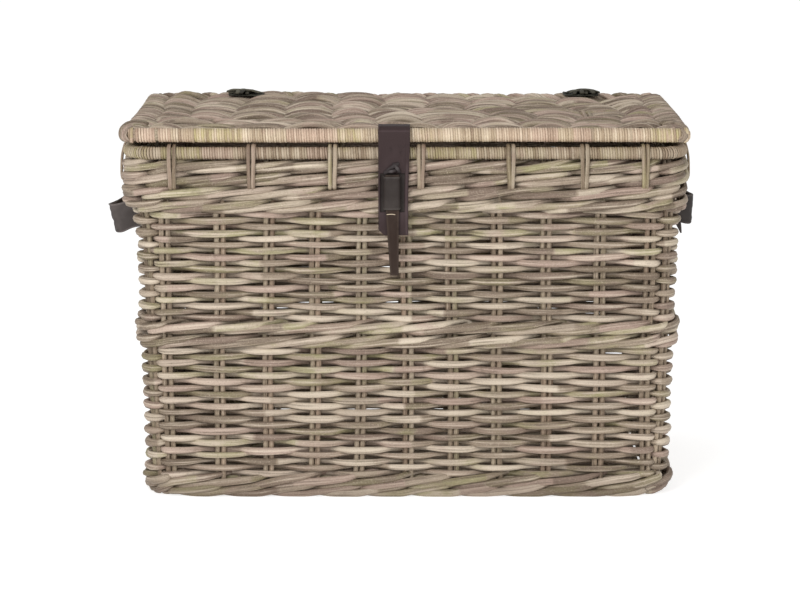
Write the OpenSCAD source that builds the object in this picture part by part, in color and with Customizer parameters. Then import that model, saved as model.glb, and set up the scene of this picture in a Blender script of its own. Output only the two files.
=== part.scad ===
// Wicker storage trunk: a rattan body woven on pairs of upright stakes, a woven lid
// on leather strap hinges, two leather side handles, and a leather hasp that a peg locks.
// Millimetres, +Z up. The origin is the centre of the base on the floor, front towards -Y.

/* [Trunk body] */
// Half the length between the end walls' stakes, at the floor
base_half_x = 373; // [365:1:380]
// Half the depth between the front and back walls' stakes, at the floor
base_half_y = 220; // [212:1:226]
// Outward lean of the end walls, in mm for each mm of height
lean_x = 0.027; // [0.02:0.001:0.03]
// Outward lean of the front and back walls, in mm for each mm of height
lean_y = 0.0135; // [0.01:0.0005:0.016]
// Plan radius of the stakes' line at the four corners
corner_r = 26; // [24:1:30]
// Top of the plaited foot border
foot_top = 28; // [24:1:32]
// Top of the lower weave
lower_top = 223; // [200:1:240]
// Top of the slanting wale round the middle
mid_wale_top = 262; // [250:1:280]
// Top of the upper weave
upper_top = 425; // [422:1:428]
// Top of the thick wale under the rim
top_wale_top = 501; // [498:1:501]

/* [Stakes] */
// Diameter of one upright stake
stake_d = 8; // [6:0.5:8]
// Distance between the two stakes of a pair, centre to centre
pair_gap = 8.8; // [8.5:0.1:9]
// Distance from one pair to the next on the front and back
pair_pitch = 70; // [65:1:70]
// Distance between pairs of sticks in the floor, a little less so that they clear the floor's pole
floor_pitch = 68; // [64:1:68]
// Distance from one pair to the next on the end walls
end_pitch = 65; // [60:1:66]
// Pairs along the front wall, and along the back wall
long_wall_pairs = 11; // [9:2:11]
// Pairs along each end wall
end_wall_pairs = 6; // [4:1:6]

/* [Base] */
// Diameter of the pole that runs round under the floor
base_pole_d = 12; // [10:1:12]
// Underside of the woven floor
floor_bottom = 10; // [8:1:10]
// Thickness of the woven floor
floor_thick = 14; // [14:1:16]

/* [Rim] */
// Height of the rim poles' centre line
rim_z = 511; // [510:0.5:512]
// Diameter of the outer rim pole over its cane binding
rim_bound_d = 19; // [18:0.5:19]
// Diameter of the bare outer rim pole
rim_core_d = 14; // [12:0.5:14]
// Diameter of the bare inner rim pole
inner_pole_d = 12; // [10:0.5:12]
// Width of one lashing strand
lash_w = 3.6; // [3:0.1:4]
// Thickness of a lashing strand
lash_t = 3; // [2:0.1:3]
// Lower end of the lashings
lash_bottom = 464; // [460:1:470]
// Places of the lashings along the front
front_lashings = [-337, -223, -105, 23, 152, 259, 347];
// Places of the lashings along the back
back_lashings = [-345, -190, -100, 0, 100, 190, 345];
// Places of the lashings along each end
end_lashings = [-165, -55, 55, 165];

/* [Lid] */
// Length of the lid
lid_x = 820; // [800:1:820]
// Depth of the lid
lid_y = 500; // [490:1:500]
// Diameter of the front pole over its cane binding
lid_bound_d = 22; // [20:0.5:22]
// Diameter of the bare front pole
lid_core_d = 16; // [14:0.5:16]
// Diameter of the bare back and side poles
lid_pole_d = 14; // [12:0.5:14]
// Height of the lid poles' centre line
lid_z = 537; // [537:0.5:540]
// Underside of the lid's weave
lid_weave_bottom = 528; // [527:0.5:529]
// Top of the lid's weave
lid_weave_top = 548; // [547:0.5:550]
// Opening angle of the lid that is drawn
lid_open = 0; // [0:5:100]

/* [Leather hinges] */
// Width of each hinge strap
hinge_w = 57; // [40:1:60]
// Middle of the left hinge strap
left_hinge_x = -253; // [-260:1:-245]
// Middle of the right hinge strap
right_hinge_x = 281; // [270:1:290]
// Thickness of the leather
hinge_t = 3; // [2:0.5:3]
// Length of strap on top of the lid
hinge_lid_length = 48; // [30:1:60]
// Lower end of the strap on the back wall
hinge_bottom = 432; // [430:1:450]

/* [Hasp and peg] */
// Left edge of the hasp strap
hasp_left = -39; // [-42:0.5:-38]
// Right edge of the hasp strap
hasp_right = 4.4; // [4:0.1:8]
// Lower end of the hasp strap
hasp_bottom = 394; // [380:1:400]
// Thickness of the hasp leather
hasp_t = 3.5; // [3:0.1:3.5]
// Length of the hasp's tab on top of the lid
hasp_tab_length = 26; // [15:1:40]
// Width of the leather keeper that stands through the hasp's slot
keeper_w = 28; // [27:0.5:29]
// Lower end of the keeper
keeper_bottom = 432; // [431:1:434]
// Upper end of the keeper
keeper_top = 480; // [478:1:481]
// Thickness of the peg
peg_t = 4.6; // [4:0.1:4.6]
// Lower end of the peg
peg_bottom = 336; // [325:1:345]
// Upper end of the peg's shank, under its knot
peg_top = 483; // [482:0.5:483]
// Upper end of the peg's knot
knot_top = 500; // [495:1:502]
// Distance the peg is drawn up out of the keeper
peg_lift = 0; // [0:10:150]

/* [Handles] */
// Width of the handle strap
handle_w = 45; // [35:1:45]
// Thickness of the handle strap
handle_t = 4; // [3:0.5:5]
// Half the length of each handle along the end wall
handle_half = 85; // [70:1:95]
// Distance that the left handle stands out from its anchors
left_reach = 38; // [36:1:42]
// Distance that the right handle stands out from its anchors
right_reach = 33; // [32:1:40]
// Height of the left handle's upper edge at its anchors
left_handle_z = 413; // [400:1:416]
// Height of the right handle's upper edge at its anchors
right_handle_z = 420; // [405:1:420]
// Inward tilt of the strap towards its lower edge
handle_tilt = 12.5; // [8:0.5:13]

/* [Hidden] */

// finishes
wicker = [0.57, 0.51, 0.44];
cane = [0.74, 0.66, 0.56];
pole = [0.56, 0.47, 0.36];
dark_leather = [0.24, 0.20, 0.19];
worn_leather = [0.40, 0.36, 0.32];

// clearances, and how far the woven shells reach out and in from the stakes' line
clear = 1;
touch = 0.1;
seam = 0.2;
foot_out = 14;
foot_in = 6.2;
weave_out = 11.6;
weave_in = 11.4;
mid_wale_out = 17.5;
mid_wale_in = 13;
top_wale_out = 28.5;
top_wale_in = 12;
stake_bottom = 14;
stake_top = 513;
rim_out = 15.2;

pair_w = pair_gap + stake_d;
upper_middle = (mid_wale_top + upper_top) / 2;
wale_middle = (upper_top + top_wale_top) / 2;
end_wall_face = wall_x(upper_middle) + weave_out;
wale_face_y = wall_y(wale_middle) + top_wale_out;
rim_face_x = wall_x(rim_z) + rim_out + rim_bound_d / 2;
rim_face_y = wall_y(rim_z) + rim_out + rim_bound_d / 2;
inner_pole_in = stake_d / 2 + clear + inner_pole_d / 2;
lash_inner = 45;
rim_top = rim_z + rim_bound_d / 2;
hinge_y = lid_y / 2 + 2.5;
hinge_z = 523.3;
handle_x = wall_x(upper_top) + 25.5;
lid_leaf_bottom = hinge_z + 1.2;
body_leaf_top = hinge_z - 3.8;
hasp_back = -(wale_face_y + 2.8);
hasp_bend = 10.4;
hasp_slot_left = hasp_left + 3;
hasp_slot_right = hasp_right - 5.9;
keeper_x = -18.7;
keeper_t = 2.8;
keeper_front = hasp_back - hasp_t - peg_t - 3.8;
peg_back = hasp_back - hasp_t - 0.4;

function wall_x(z) = base_half_x + lean_x * z;
function wall_y(z) = base_half_y + lean_y * z;

// Flat outline with four true round corners
module rounded_outline(half_x, half_y, r) {
    square([2 * (half_x - r), 2 * half_y], center = true);
    square([2 * half_x, 2 * (half_y - r)], center = true);
    for (sx = [-1, 1], sy = [-1, 1])
        translate([sx * (half_x - r), sy * (half_y - r)])
            circle(r = r, $fn = 48);
}

// Upright shell round the stakes' line, from bottom to top
module wall_shell(bottom, top, out, in) {
    middle = (bottom + top) / 2;
    translate([0, 0, bottom])
        linear_extrude(top - bottom - seam)
            difference() {
                rounded_outline(wall_x(middle) + out, wall_y(middle) + out, corner_r + out);
                rounded_outline(wall_x(middle) - in, wall_y(middle) - in, corner_r - in);
            }
}

// Carries its children to a leaning line that starts at x, y on the floor
module on_line(x, y, turn, lean_out_x, lean_out_y) {
    translate([x, y, 0])
        rotate([-atan(lean_out_y), atan(lean_out_x), 0])
            rotate([0, 0, turn])
                children();
}

// The pairs fan out a little as they rise, because the walls lean
module long_wall_line(x, side) {
    on_line(x, side * base_half_y, 0, lean_x * x / base_half_x, side * lean_y)
        children();
}

module end_wall_line(y, side) {
    on_line(side * base_half_x, y, 90, side * lean_x, lean_y * y / base_half_y)
        children();
}

module on_long_wall(side) {
    for (k = [0 : long_wall_pairs - 1])
        long_wall_line((k - (long_wall_pairs - 1) / 2) * pair_pitch, side)
            children();
}

module on_end_wall(side) {
    for (k = [0 : end_wall_pairs - 1])
        end_wall_line((k - (end_wall_pairs - 1) / 2) * end_pitch, side)
            children();
}

module stake_pair() {
    for (side = [-1, 1])
        translate([side * pair_gap / 2, 0, stake_bottom])
            cylinder(h = stake_top - stake_bottom, d = stake_d, $fn = 32);
}

module stake_channel() {
    translate([-pair_w / 2 - clear, -stake_d / 2 - clear, stake_bottom - 2])
        cube([pair_w + 2 * clear, stake_d + 2 * clear, stake_top]);
}

module all_channels() {
    for (side = [-1, 1]) {
        on_long_wall(side) stake_channel();
        on_end_wall(side) stake_channel();
    }
}

// Woven shell with a flat channel for each pair of stakes
module woven_shell(bottom, top, out, in) {
    difference() {
        wall_shell(bottom, top, out, in);
        all_channels();
    }
}

// Round rod along the stakes' line at one height, moved outward by out: four straight
// lengths and four bends, with a hair's gap at each joint
module ring_rod(z, out, d) {
    half_x = wall_x(z) + out;
    half_y = wall_y(z) + out;
    r = corner_r + out;
    signs = [[1, 1], [-1, 1], [-1, -1], [1, -1]];
    translate([0, 0, z]) {
        for (side = [-1, 1]) {
            translate([-half_x + r + seam, side * half_y, 0])
                rotate([0, 90, 0])
                    cylinder(h = 2 * (half_x - r - seam), d = d, $fn = 40);
            translate([side * half_x, half_y - r - seam, 0])
                rotate([90, 0, 0])
                    cylinder(h = 2 * (half_y - r - seam), d = d, $fn = 40);
        }
        for (quarter = [0 : 3])
            translate([signs[quarter][0] * (half_x - r), signs[quarter][1] * (half_y - r), 0])
                rotate([0, 0, 90 * quarter])
                    rotate_extrude(angle = 90, $fn = 80)
                        translate([r, 0])
                            circle(d = d, $fn = 40);
    }
}

// Box given by its lowest and highest corners
module block(low, high) {
    translate(low)
        cube(high - low);
}

module base_frame() {
    color(pole)
        ring_rod(foot_top / 2 + 3, -13, base_pole_d);
}

module at_floor_pairs() {
    for (k = [0 : long_wall_pairs - 1])
        translate([(k - (long_wall_pairs - 1) / 2) * floor_pitch, 0, floor_bottom + floor_thick / 2])
            children();
}

module base_sticks() {
    length = 2 * (base_half_y - 20);
    color(pole)
        at_floor_pairs()
            for (side = [-1, 1])
                translate([side * pair_gap / 2, length / 2, 0])
                    rotate([90, 0, 0])
                        cylinder(h = length, d = stake_d, $fn = 32);
}

module base_weave() {
    half_x = base_half_x - 21;
    half_y = base_half_y - 19;
    color(wicker)
        difference() {
            translate([0, 0, floor_bottom])
                linear_extrude(floor_thick)
                    rounded_outline(half_x, half_y, corner_r - 20);
            at_floor_pairs()
                cube([pair_w + 2 * clear, 2 * base_half_y, stake_d + 2 * clear], center = true);
        }
}

module foot_border() {
    color(wicker)
        woven_shell(0, foot_top, foot_out, foot_in);
}

module front_stakes() {
    color(pole)
        on_long_wall(-1) stake_pair();
}

module back_stakes() {
    color(pole)
        on_long_wall(1) stake_pair();
}

module left_stakes() {
    color(pole)
        on_end_wall(-1) stake_pair();
}

module right_stakes() {
    color(pole)
        on_end_wall(1) stake_pair();
}

module lower_weave() {
    color(wicker)
        woven_shell(foot_top, lower_top, weave_out, weave_in);
}

module mid_wale() {
    color(wicker)
        woven_shell(lower_top, mid_wale_top, mid_wale_out, mid_wale_in);
}

module upper_weave() {
    color(wicker)
        woven_shell(mid_wale_top, upper_top, weave_out, weave_in);
}

// The wale under the rim has a shallow notch behind each lashing
module top_wale() {
    notch = 2 * lash_w + 5;
    color(wicker)
        difference() {
            woven_shell(upper_top, top_wale_top, top_wale_out, top_wale_in);
            at_lashings()
                block([-notch / 2, -20, lash_bottom - 1], [notch / 2, -touch, top_wale_top + 1]);
        }
}

module rim_outer_pole() {
    color(pole)
        ring_rod(rim_z, rim_out, rim_core_d);
}

module rim_inner_pole() {
    color(pole)
        ring_rod(rim_z - 2, -inner_pole_in, inner_pole_d);
}

// Cane wound round the outer rim pole
module rim_binding() {
    color(cane)
        difference() {
            ring_rod(rim_z, rim_out, rim_bound_d);
            ring_rod(rim_z, rim_out, rim_core_d + 2.4);
        }
}

// Carries its children to each lashing, with the rim's outer face at y = 0
module at_lashings() {
    for (x = front_lashings)
        translate([x, -rim_face_y, 0])
            children();
    for (x = back_lashings)
        translate([x, rim_face_y, 0])
            rotate([0, 0, 180])
                children();
    for (y = end_lashings, side = [-1, 1])
        translate([side * rim_face_x, y, 0])
            rotate([0, 0, 90 * side])
                children();
}

// One strand hooked over the rim, down the outside and down the inside
module lash_strand() {
    crown = rim_top + seam;
    block([-lash_w / 2, -seam - lash_t, lash_bottom], [lash_w / 2, -seam, crown + lash_t]);
    block([-lash_w / 2, -seam - lash_t, crown], [lash_w / 2, lash_inner, crown + lash_t]);
    block([-lash_w / 2, lash_inner - lash_t, lash_bottom], [lash_w / 2, lash_inner, crown + lash_t]);
}

module rim_lashings() {
    color(cane)
        at_lashings()
            for (side = [-1, 1])
                translate([side * (lash_w + 1.2) / 2, 0, 0])
                    lash_strand();
}

// Leather keeper: a plate on the wall and a bridge that the peg drops through
module peg_keeper() {
    plate_front = hasp_back + seam;
    plate_back = -wale_face_y - touch;
    half = keeper_w / 2;
    depth = plate_front - keeper_front;
    color(worn_leather) {
        block([keeper_x - half - 1, plate_front, keeper_bottom - 3],
              [keeper_x + half + 1, plate_back, keeper_top + 3]);
        translate([keeper_x, plate_front, keeper_bottom])
            linear_extrude(keeper_top - keeper_bottom)
                difference() {
                    bridge_outline(half, depth, 4);
                    bridge_outline(half - keeper_t, depth - keeper_t, 2);
                }
    }
}

// Box outline from y = 0 out to y = -depth, with its two far corners rounded
module bridge_outline(half, depth, r) {
    translate([-half, -depth + r])
        square([2 * half, depth - r]);
    translate([-half + r, -depth])
        square([2 * (half - r), depth]);
    for (side = [-1, 1])
        translate([side * (half - r), -depth + r])
            circle(r = r, $fn = 32);
}

// Plan of a handle: a flat loop from wall to wall with two round bends
module handle_plan(reach) {
    bend = 28;
    difference() {
        rounded_outline(reach, handle_half, bend);
        rounded_outline(reach - handle_t, handle_half - handle_t, bend - handle_t);
    }
}

module handle(side, reach, top) {
    translate([side * handle_x, 0, top])
        mirror([side < 0 ? 1 : 0, 0, 0])
            intersection() {
                rotate([0, handle_tilt, 0])
                    translate([0, 0, -handle_w])
                        linear_extrude(handle_w)
                            handle_plan(reach);
                block([0.4, -2 * handle_half, -2 * handle_w], [100, 2 * handle_half, handle_w]);
            }
}

module handle_anchors(side, top) {
    outer = handle_x - 0.4;
    inner = end_wall_face + touch;
    for (end = [-1, 1])
        translate([side * (inner + outer) / 2, end * (handle_half - handle_t / 2), top - handle_w / 2 + 1])
            cube([outer - inner, handle_t, handle_w - 6], center = true);
}

module left_handle() {
    color(worn_leather)
        handle(-1, left_reach, left_handle_z);
}

module right_handle() {
    color(worn_leather)
        handle(1, right_reach, right_handle_z);
}

module left_handle_anchors() {
    color(worn_leather)
        handle_anchors(-1, left_handle_z);
}

module right_handle_anchors() {
    color(worn_leather)
        handle_anchors(1, right_handle_z);
}

module hinge_body_leaf(x) {
    face = wale_face_y + touch;
    block([x - hinge_w / 2, face, hinge_bottom], [x + hinge_w / 2, face + hinge_t, body_leaf_top]);
}

module hinge_lid_leaf(x) {
    face = lid_y / 2 + 0.3;
    top = lid_weave_top + 0.3;
    left = x - hinge_w / 2;
    right = x + hinge_w / 2;
    block([left, face, lid_leaf_bottom], [right, face + hinge_t, top + hinge_t]);
    block([left, face - hinge_lid_length, top], [right, face + hinge_t, top + hinge_t]);
}

module left_hinge_body_leaf() {
    color(dark_leather)
        hinge_body_leaf(left_hinge_x);
}

module right_hinge_body_leaf() {
    color(dark_leather)
        hinge_body_leaf(right_hinge_x);
}

// Two crossed thongs, flat on z = 0
module crossed_thongs() {
    length = 30;
    for (turn = [-32, 32])
        rotate([0, 0, turn])
            translate([-length / 2, -2.5, 0])
                cube([length, 5, 2.5]);
}

module body_hinge_lacings() {
    color(dark_leather)
        for (x = [left_hinge_x, right_hinge_x])
            translate([x, wale_face_y + 2 * touch + hinge_t, 480])
                rotate([-90, 0, 0])
                    crossed_thongs();
}

module lid_hinge_lacings() {
    color(dark_leather)
        for (x = [left_hinge_x, right_hinge_x])
            translate([x, lid_y / 2 - 24, lid_weave_top + 0.3 + hinge_t + touch])
                crossed_thongs();
}

module lid_front_pole() {
    color(pole)
        front_rod(lid_core_d, lid_x - 12);
}

// Rod along the front edge of the lid
module front_rod(d, length) {
    translate([-length / 2, -(lid_y - lid_bound_d) / 2, lid_z])
        rotate([0, 90, 0])
            cylinder(h = length, d = d, $fn = 40);
}

module lid_front_binding() {
    color(cane)
        difference() {
            front_rod(lid_bound_d, lid_x);
            front_rod(lid_core_d + 2.4, lid_x + 2);
        }
}

module lid_back_pole() {
    length = lid_x - 20;
    color(pole)
        translate([-length / 2, lid_y / 2 - 11, lid_z])
            rotate([0, 90, 0])
                cylinder(h = length, d = lid_pole_d, $fn = 40);
}

module lid_side_poles() {
    length = lid_y - 46;
    color(pole)
        for (side = [-1, 1])
            translate([side * (lid_x / 2 - 14), lid_y / 2 - 21, lid_z])
                rotate([90, 0, 0])
                    cylinder(h = length, d = lid_pole_d, $fn = 40);
}

module lid_ribs() {
    length = lid_y - 46;
    color(pole)
        for (k = [0 : long_wall_pairs - 1], side = [-1, 1])
            translate([(k - (long_wall_pairs - 1) / 2) * pair_pitch + side * pair_gap / 2,
                       lid_y / 2 - 21, lid_z])
                rotate([90, 0, 0])
                    cylinder(h = length, d = stake_d, $fn = 32);
}

// Woven panel of the lid, with flat channels for the ribs and poles
module lid_weave() {
    half_x = lid_x / 2 - 2;
    front = -lid_y / 2 + lid_bound_d + 0.5;
    back = lid_y / 2;
    rib = stake_d / 2 + clear;
    rod = lid_pole_d / 2 + clear;
    color(wicker)
        difference() {
            block([-half_x, front, lid_weave_bottom], [half_x, back, lid_weave_top]);
            for (k = [0 : long_wall_pairs - 1])
                translate([(k - (long_wall_pairs - 1) / 2) * pair_pitch, 0, lid_z])
                    block([-pair_w / 2 - clear, -lid_y, -rib], [pair_w / 2 + clear, back - 20, rib]);
            for (side = [-1, 1])
                translate([side * (lid_x / 2 - 14), 0, lid_z])
                    block([-rod, -lid_y, -rod], [rod, back - 20, rod]);
            translate([0, back - 11, lid_z])
                block([-lid_x / 2 + 9, -rod, -rod], [lid_x / 2 - 9, rod, rod]);
        }
}

module left_hinge_lid_leaf() {
    color(dark_leather)
        hinge_lid_leaf(left_hinge_x);
}

module right_hinge_lid_leaf() {
    color(dark_leather)
        hinge_lid_leaf(right_hinge_x);
}

module hasp_tab() {
    bend_y = hasp_back - hasp_t + hasp_bend;
    top = lid_weave_top + 3.9;
    color(dark_leather)
        block([hasp_left, bend_y + 0.4, top - hasp_t], [hasp_right, bend_y + hasp_tab_length, top]);
}

// Side view of the hasp, drawn as y along x and z along y: a strap with a bend on top
module hasp_side() {
    front = hasp_back - hasp_t;
    bend_z = lid_weave_top + 3.9 - hasp_bend;
    translate([front, hasp_bottom])
        square([hasp_t, bend_z - hasp_bottom]);
    translate([front + hasp_bend, bend_z])
        intersection() {
            difference() {
                circle(r = hasp_bend, $fn = 48);
                circle(r = hasp_bend - hasp_t, $fn = 48);
            }
            translate([-hasp_bend, 0])
                square([hasp_bend, hasp_bend]);
        }
}

// Front view of the hasp: a slot for the keeper and one cut corner
module hasp_front() {
    chamfer = 8;
    top = lid_weave_top + 10;
    difference() {
        polygon([
            [hasp_left + chamfer, hasp_bottom],
            [hasp_right, hasp_bottom],
            [hasp_right, top],
            [hasp_left, top],
            [hasp_left, hasp_bottom + chamfer]
        ]);
        translate([hasp_slot_left, keeper_bottom - 4])
            square([hasp_slot_right - hasp_slot_left, keeper_top - keeper_bottom + 8]);
    }
}

module hasp_strap() {
    color(dark_leather)
        intersection() {
            translate([hasp_left, 0, 0])
                rotate([90, 0, 90])
                    linear_extrude(hasp_right - hasp_left)
                        hasp_side();
            translate([0, hasp_back + 30, 0])
                rotate([90, 0, 0])
                    linear_extrude(60)
                        hasp_front();
        }
}

module peg() {
    color(dark_leather)
        translate([0, peg_back, 0])
            rotate([90, 0, 0])
                linear_extrude(peg_t)
                    polygon([
                        [-21, peg_bottom],
                        [-8.2, peg_bottom],
                        [-8.3, 425],
                        [-8.6, peg_top],
                        [-28, peg_top],
                        [-27.2, 425]
                    ]);
}

module peg_knot() {
    half = 13.5;
    color(dark_leather)
        block([keeper_x - half, peg_back - peg_t - 2, peg_top + touch],
              [keeper_x + half, peg_back, knot_top]);
}

// Lid assembly turned open about the hinge line
module on_lid() {
    translate([0, hinge_y, hinge_z])
        rotate([-lid_open, 0, 0])
            translate([0, -hinge_y, -hinge_z])
                children();
}

module on_peg() {
    translate([0, 0, peg_lift])
        children();
}

base_frame();
base_sticks();
base_weave();
foot_border();
front_stakes();
back_stakes();
left_stakes();
right_stakes();
lower_weave();
mid_wale();
upper_weave();
top_wale();
rim_outer_pole();
rim_inner_pole();
rim_binding();
rim_lashings();
peg_keeper();
left_handle_anchors();
right_handle_anchors();
left_hinge_body_leaf();
right_hinge_body_leaf();
body_hinge_lacings();
on_lid() lid_front_pole();
on_lid() lid_front_binding();
on_lid() lid_back_pole();
on_lid() lid_side_poles();
on_lid() lid_ribs();
on_lid() lid_weave();
on_lid() left_hinge_lid_leaf();
on_lid() right_hinge_lid_leaf();
on_lid() lid_hinge_lacings();
on_lid() hasp_tab();
on_lid() hasp_strap();
on_peg() peg();
on_peg() peg_knot();
left_handle();
right_handle();
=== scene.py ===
"""A wicker storage trunk: woven rattan walls and lid, cane-bound rim, leather straps and handles."""

import math

import bpy
import numpy as np
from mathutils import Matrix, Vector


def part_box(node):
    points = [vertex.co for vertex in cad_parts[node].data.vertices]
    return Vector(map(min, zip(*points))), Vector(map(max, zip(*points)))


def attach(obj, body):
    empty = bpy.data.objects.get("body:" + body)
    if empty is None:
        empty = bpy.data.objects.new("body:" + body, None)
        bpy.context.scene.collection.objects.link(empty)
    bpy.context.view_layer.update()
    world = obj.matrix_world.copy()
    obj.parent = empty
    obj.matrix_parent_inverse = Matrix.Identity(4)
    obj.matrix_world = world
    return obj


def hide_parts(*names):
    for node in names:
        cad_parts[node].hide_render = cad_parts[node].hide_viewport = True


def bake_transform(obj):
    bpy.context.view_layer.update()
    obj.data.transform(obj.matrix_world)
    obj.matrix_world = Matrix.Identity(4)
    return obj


bl_info = {
    "name": "Wicker Storage Trunk",
    "version": (1, 0, 0),
    "blender": (4, 5, 0),
    "location": "View3D > Sidebar > Trunk",
    "description": "Builds the woven trunk, its lid, its leather and its studio",
    "category": "Add Mesh",
}

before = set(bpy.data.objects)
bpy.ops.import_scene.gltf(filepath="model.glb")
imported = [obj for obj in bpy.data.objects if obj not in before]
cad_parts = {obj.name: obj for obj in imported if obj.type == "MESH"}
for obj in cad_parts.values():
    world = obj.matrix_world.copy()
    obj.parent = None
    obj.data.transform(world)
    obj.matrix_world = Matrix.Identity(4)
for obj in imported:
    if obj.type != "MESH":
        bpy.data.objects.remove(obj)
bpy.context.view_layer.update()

# The plan of the stakes' line at the floor, and how it grows with height
HALF_X = 0.373
HALF_Y = 0.220
CORNER_R = 0.026
FRONT_RUN = 2.0 * (HALF_X - CORNER_R)
END_RUN = 2.0 * (HALF_Y - CORNER_R)
BEND = CORNER_R * math.pi / 2.0
LEAN_X = 0.027
LEAN_Y = 0.0135
FLARE = 0.008
FOOT_TUCK = 0.016
RIGHT_SWELL = 0.006
LONG_PAIRS = 11
END_PAIRS = 6
LONG_PITCH = 0.070
END_PITCH = 0.065
STICK_PITCH = 0.068
PAIR_GAP = 0.0088
PAIRS_ROUND = 2 * (LONG_PAIRS + END_PAIRS) + 4
FRONT_PAIRS = [PAIRS_ROUND - 1] + list(range(LONG_PAIRS + 1))
RIGHT_PAIRS = list(range(LONG_PAIRS + 1, LONG_PAIRS + 1 + END_PAIRS))
BACK_PAIRS = list(range(LONG_PAIRS + 1 + END_PAIRS, 2 * LONG_PAIRS + 3 + END_PAIRS))
LEFT_PAIRS = list(range(2 * LONG_PAIRS + 3 + END_PAIRS, PAIRS_ROUND - 1))
# A hand-set basket is never quite even: how far each front pair stands from its regular place at the floor
FRONT_SHIFT = np.array([6.0, 8.0, 8.0, 7.5, 4.0, 4.0, 1.5, -3.0, -2.0, 1.5, -3.0]) * 0.001
# The pairs stand straighter than the ends: how far each front pair has moved at the top of the plain weave
TOP_SHIFT = np.array([3.0, 9.0, 9.5, 8.0, 6.5, 1.5, -5.5, -9.5, -8.5, -6.0, -6.5]) * 0.001


def low_high(node):
    """Lowest and highest corner of a node."""
    low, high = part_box(node)
    return np.array(low), np.array(high)


def mid(box, axis):
    """Half way between a box's lowest and highest place along an axis."""
    return (box[0][axis] + box[1][axis]) / 2.0


LOWER = low_high("lower_weave")
MID_WALE = low_high("mid_wale")
UPPER = low_high("upper_weave")
TOP_WALE = low_high("top_wale")
FOOT = low_high("foot_border")
RIM_POLE = low_high("rim_outer_pole")
INNER_POLE = low_high("rim_inner_pole")
LID_BINDING = low_high("lid_front_binding")
LID_BACK = low_high("lid_back_pole")
LID_SIDES = low_high("lid_side_poles")
FLOOR_WEAVE = low_high("base_weave")


# ---------------------------------------------------------------- settings


class TrunkWeave(bpy.types.PropertyGroup):
    """Sizes of the rattan strands."""

    strand: bpy.props.FloatProperty(
        name="Strand", description="Diameter of a weaver", default=0.0097, unit="LENGTH"
    )
    wale_strand: bpy.props.FloatProperty(
        name="Wale strand", description="Diameter of a strand in the wales", default=0.0100, unit="LENGTH"
    )
    stake: bpy.props.FloatProperty(
        name="Stake", description="Diameter of a stake", default=0.0080, unit="LENGTH"
    )
    row: bpy.props.FloatProperty(
        name="Row", description="Height of one row of weave", default=0.0093, unit="LENGTH"
    )
    cane: bpy.props.FloatProperty(
        name="Cane", description="Width of the cane that binds the rim", default=0.0037, unit="LENGTH"
    )
    seed: bpy.props.IntProperty(name="Seed", description="Picks the strands' own shapes and tones", default=7)


class TrunkColours(bpy.types.PropertyGroup):
    """Base colours of the finishes."""

    wicker: bpy.props.FloatVectorProperty(
        name="Wicker", description="Grey-washed rattan", default=(0.285, 0.222, 0.163), subtype="COLOR"
    )
    cane: bpy.props.FloatVectorProperty(
        name="Cane", description="Pale binding cane", default=(0.430, 0.330, 0.222), subtype="COLOR"
    )
    pole: bpy.props.FloatVectorProperty(
        name="Pole", description="Stakes and poles", default=(0.330, 0.255, 0.182), subtype="COLOR"
    )
    hasp: bpy.props.FloatVectorProperty(
        name="Hasp leather", description="Dark brown leather", default=(0.034, 0.021, 0.021), subtype="COLOR"
    )
    hinge: bpy.props.FloatVectorProperty(
        name="Hinge leather", description="Almost black", default=(0.017, 0.016, 0.012), subtype="COLOR"
    )
    handle: bpy.props.FloatVectorProperty(
        name="Handle leather", description="Greyed leather", default=(0.060, 0.051, 0.048), subtype="COLOR"
    )


# ---------------------------------------------------------------- shapes


def unit(v):
    """Vectors along the last axis, at length one."""
    return v / np.maximum(np.linalg.norm(v, axis=-1, keepdims=True), 1e-12)


def smooth(low, high, x):
    """Smooth step: 0 below low, 1 above high, and 3t^2 - 2t^3 between them."""
    t = np.clip((x - low) / (high - low), 0.0, 1.0)
    return t * t * (3.0 - 2.0 * t)


def centred(count, pitch):
    """Places evenly spaced round zero."""
    return (np.arange(count) - (count - 1) / 2.0) * pitch


def doubled(places):
    """Places of both stakes of each pair: all the first ones, and then all the second ones."""
    return np.concatenate([places - PAIR_GAP / 2.0, places + PAIR_GAP / 2.0])


def wander(rng, count, steps, every, size, ring=True):
    """Smooth random walk round zero: random knots every so many steps, joined by cosine curves. A ring's
    walk ends where it starts."""
    knots = max(3, int(round(steps / every)))
    heights = rng.normal(0.0, size, (count, knots + 1))
    if ring:
        heights[:, -1] = heights[:, 0]
    at = np.arange(steps) * knots / steps
    low = np.floor(at).astype(int)
    part = (1.0 - np.cos(np.pi * (at - low))) / 2.0
    return heights[:, low] * (1.0 - part) + heights[:, low + 1] * part


def smooth_path(points, count, closed=False):
    """Smooth curve through a few points, as evenly spaced points: Catmull-Rom pieces, each a cubic of four
    neighbouring points, and then equal steps of length along them."""
    p = np.asarray(points, float)
    if closed:
        p = np.concatenate([p[-1:], p, p[:2]])
    else:
        p = np.concatenate([2.0 * p[:1] - p[1:2], p, 2.0 * p[-1:] - p[-2:-1]])
    t = np.linspace(0.0, 1.0, 24, endpoint=False)[None, :, None]
    a, b, c, d = p[:-3, None], p[1:-2, None], p[2:-1, None], p[3:, None]
    curve = 0.5 * (2 * b + (c - a) * t + (2 * a - 5 * b + 4 * c - d) * t**2 + (3 * b - a - 3 * c + d) * t**3)
    curve = np.concatenate([curve.reshape(-1, p.shape[1]), p[-2:-1]])
    return resample(curve, count, closed)


def resample(curve, count, closed=False):
    """Points at equal steps of length along a line of points."""
    length = np.concatenate([[0.0], np.cumsum(np.linalg.norm(np.diff(curve, axis=0), axis=1))])
    at = np.linspace(0.0, length[-1], count, endpoint=not closed)
    return np.stack([np.interp(at, length, curve[:, k]) for k in range(curve.shape[1])], -1)


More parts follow.
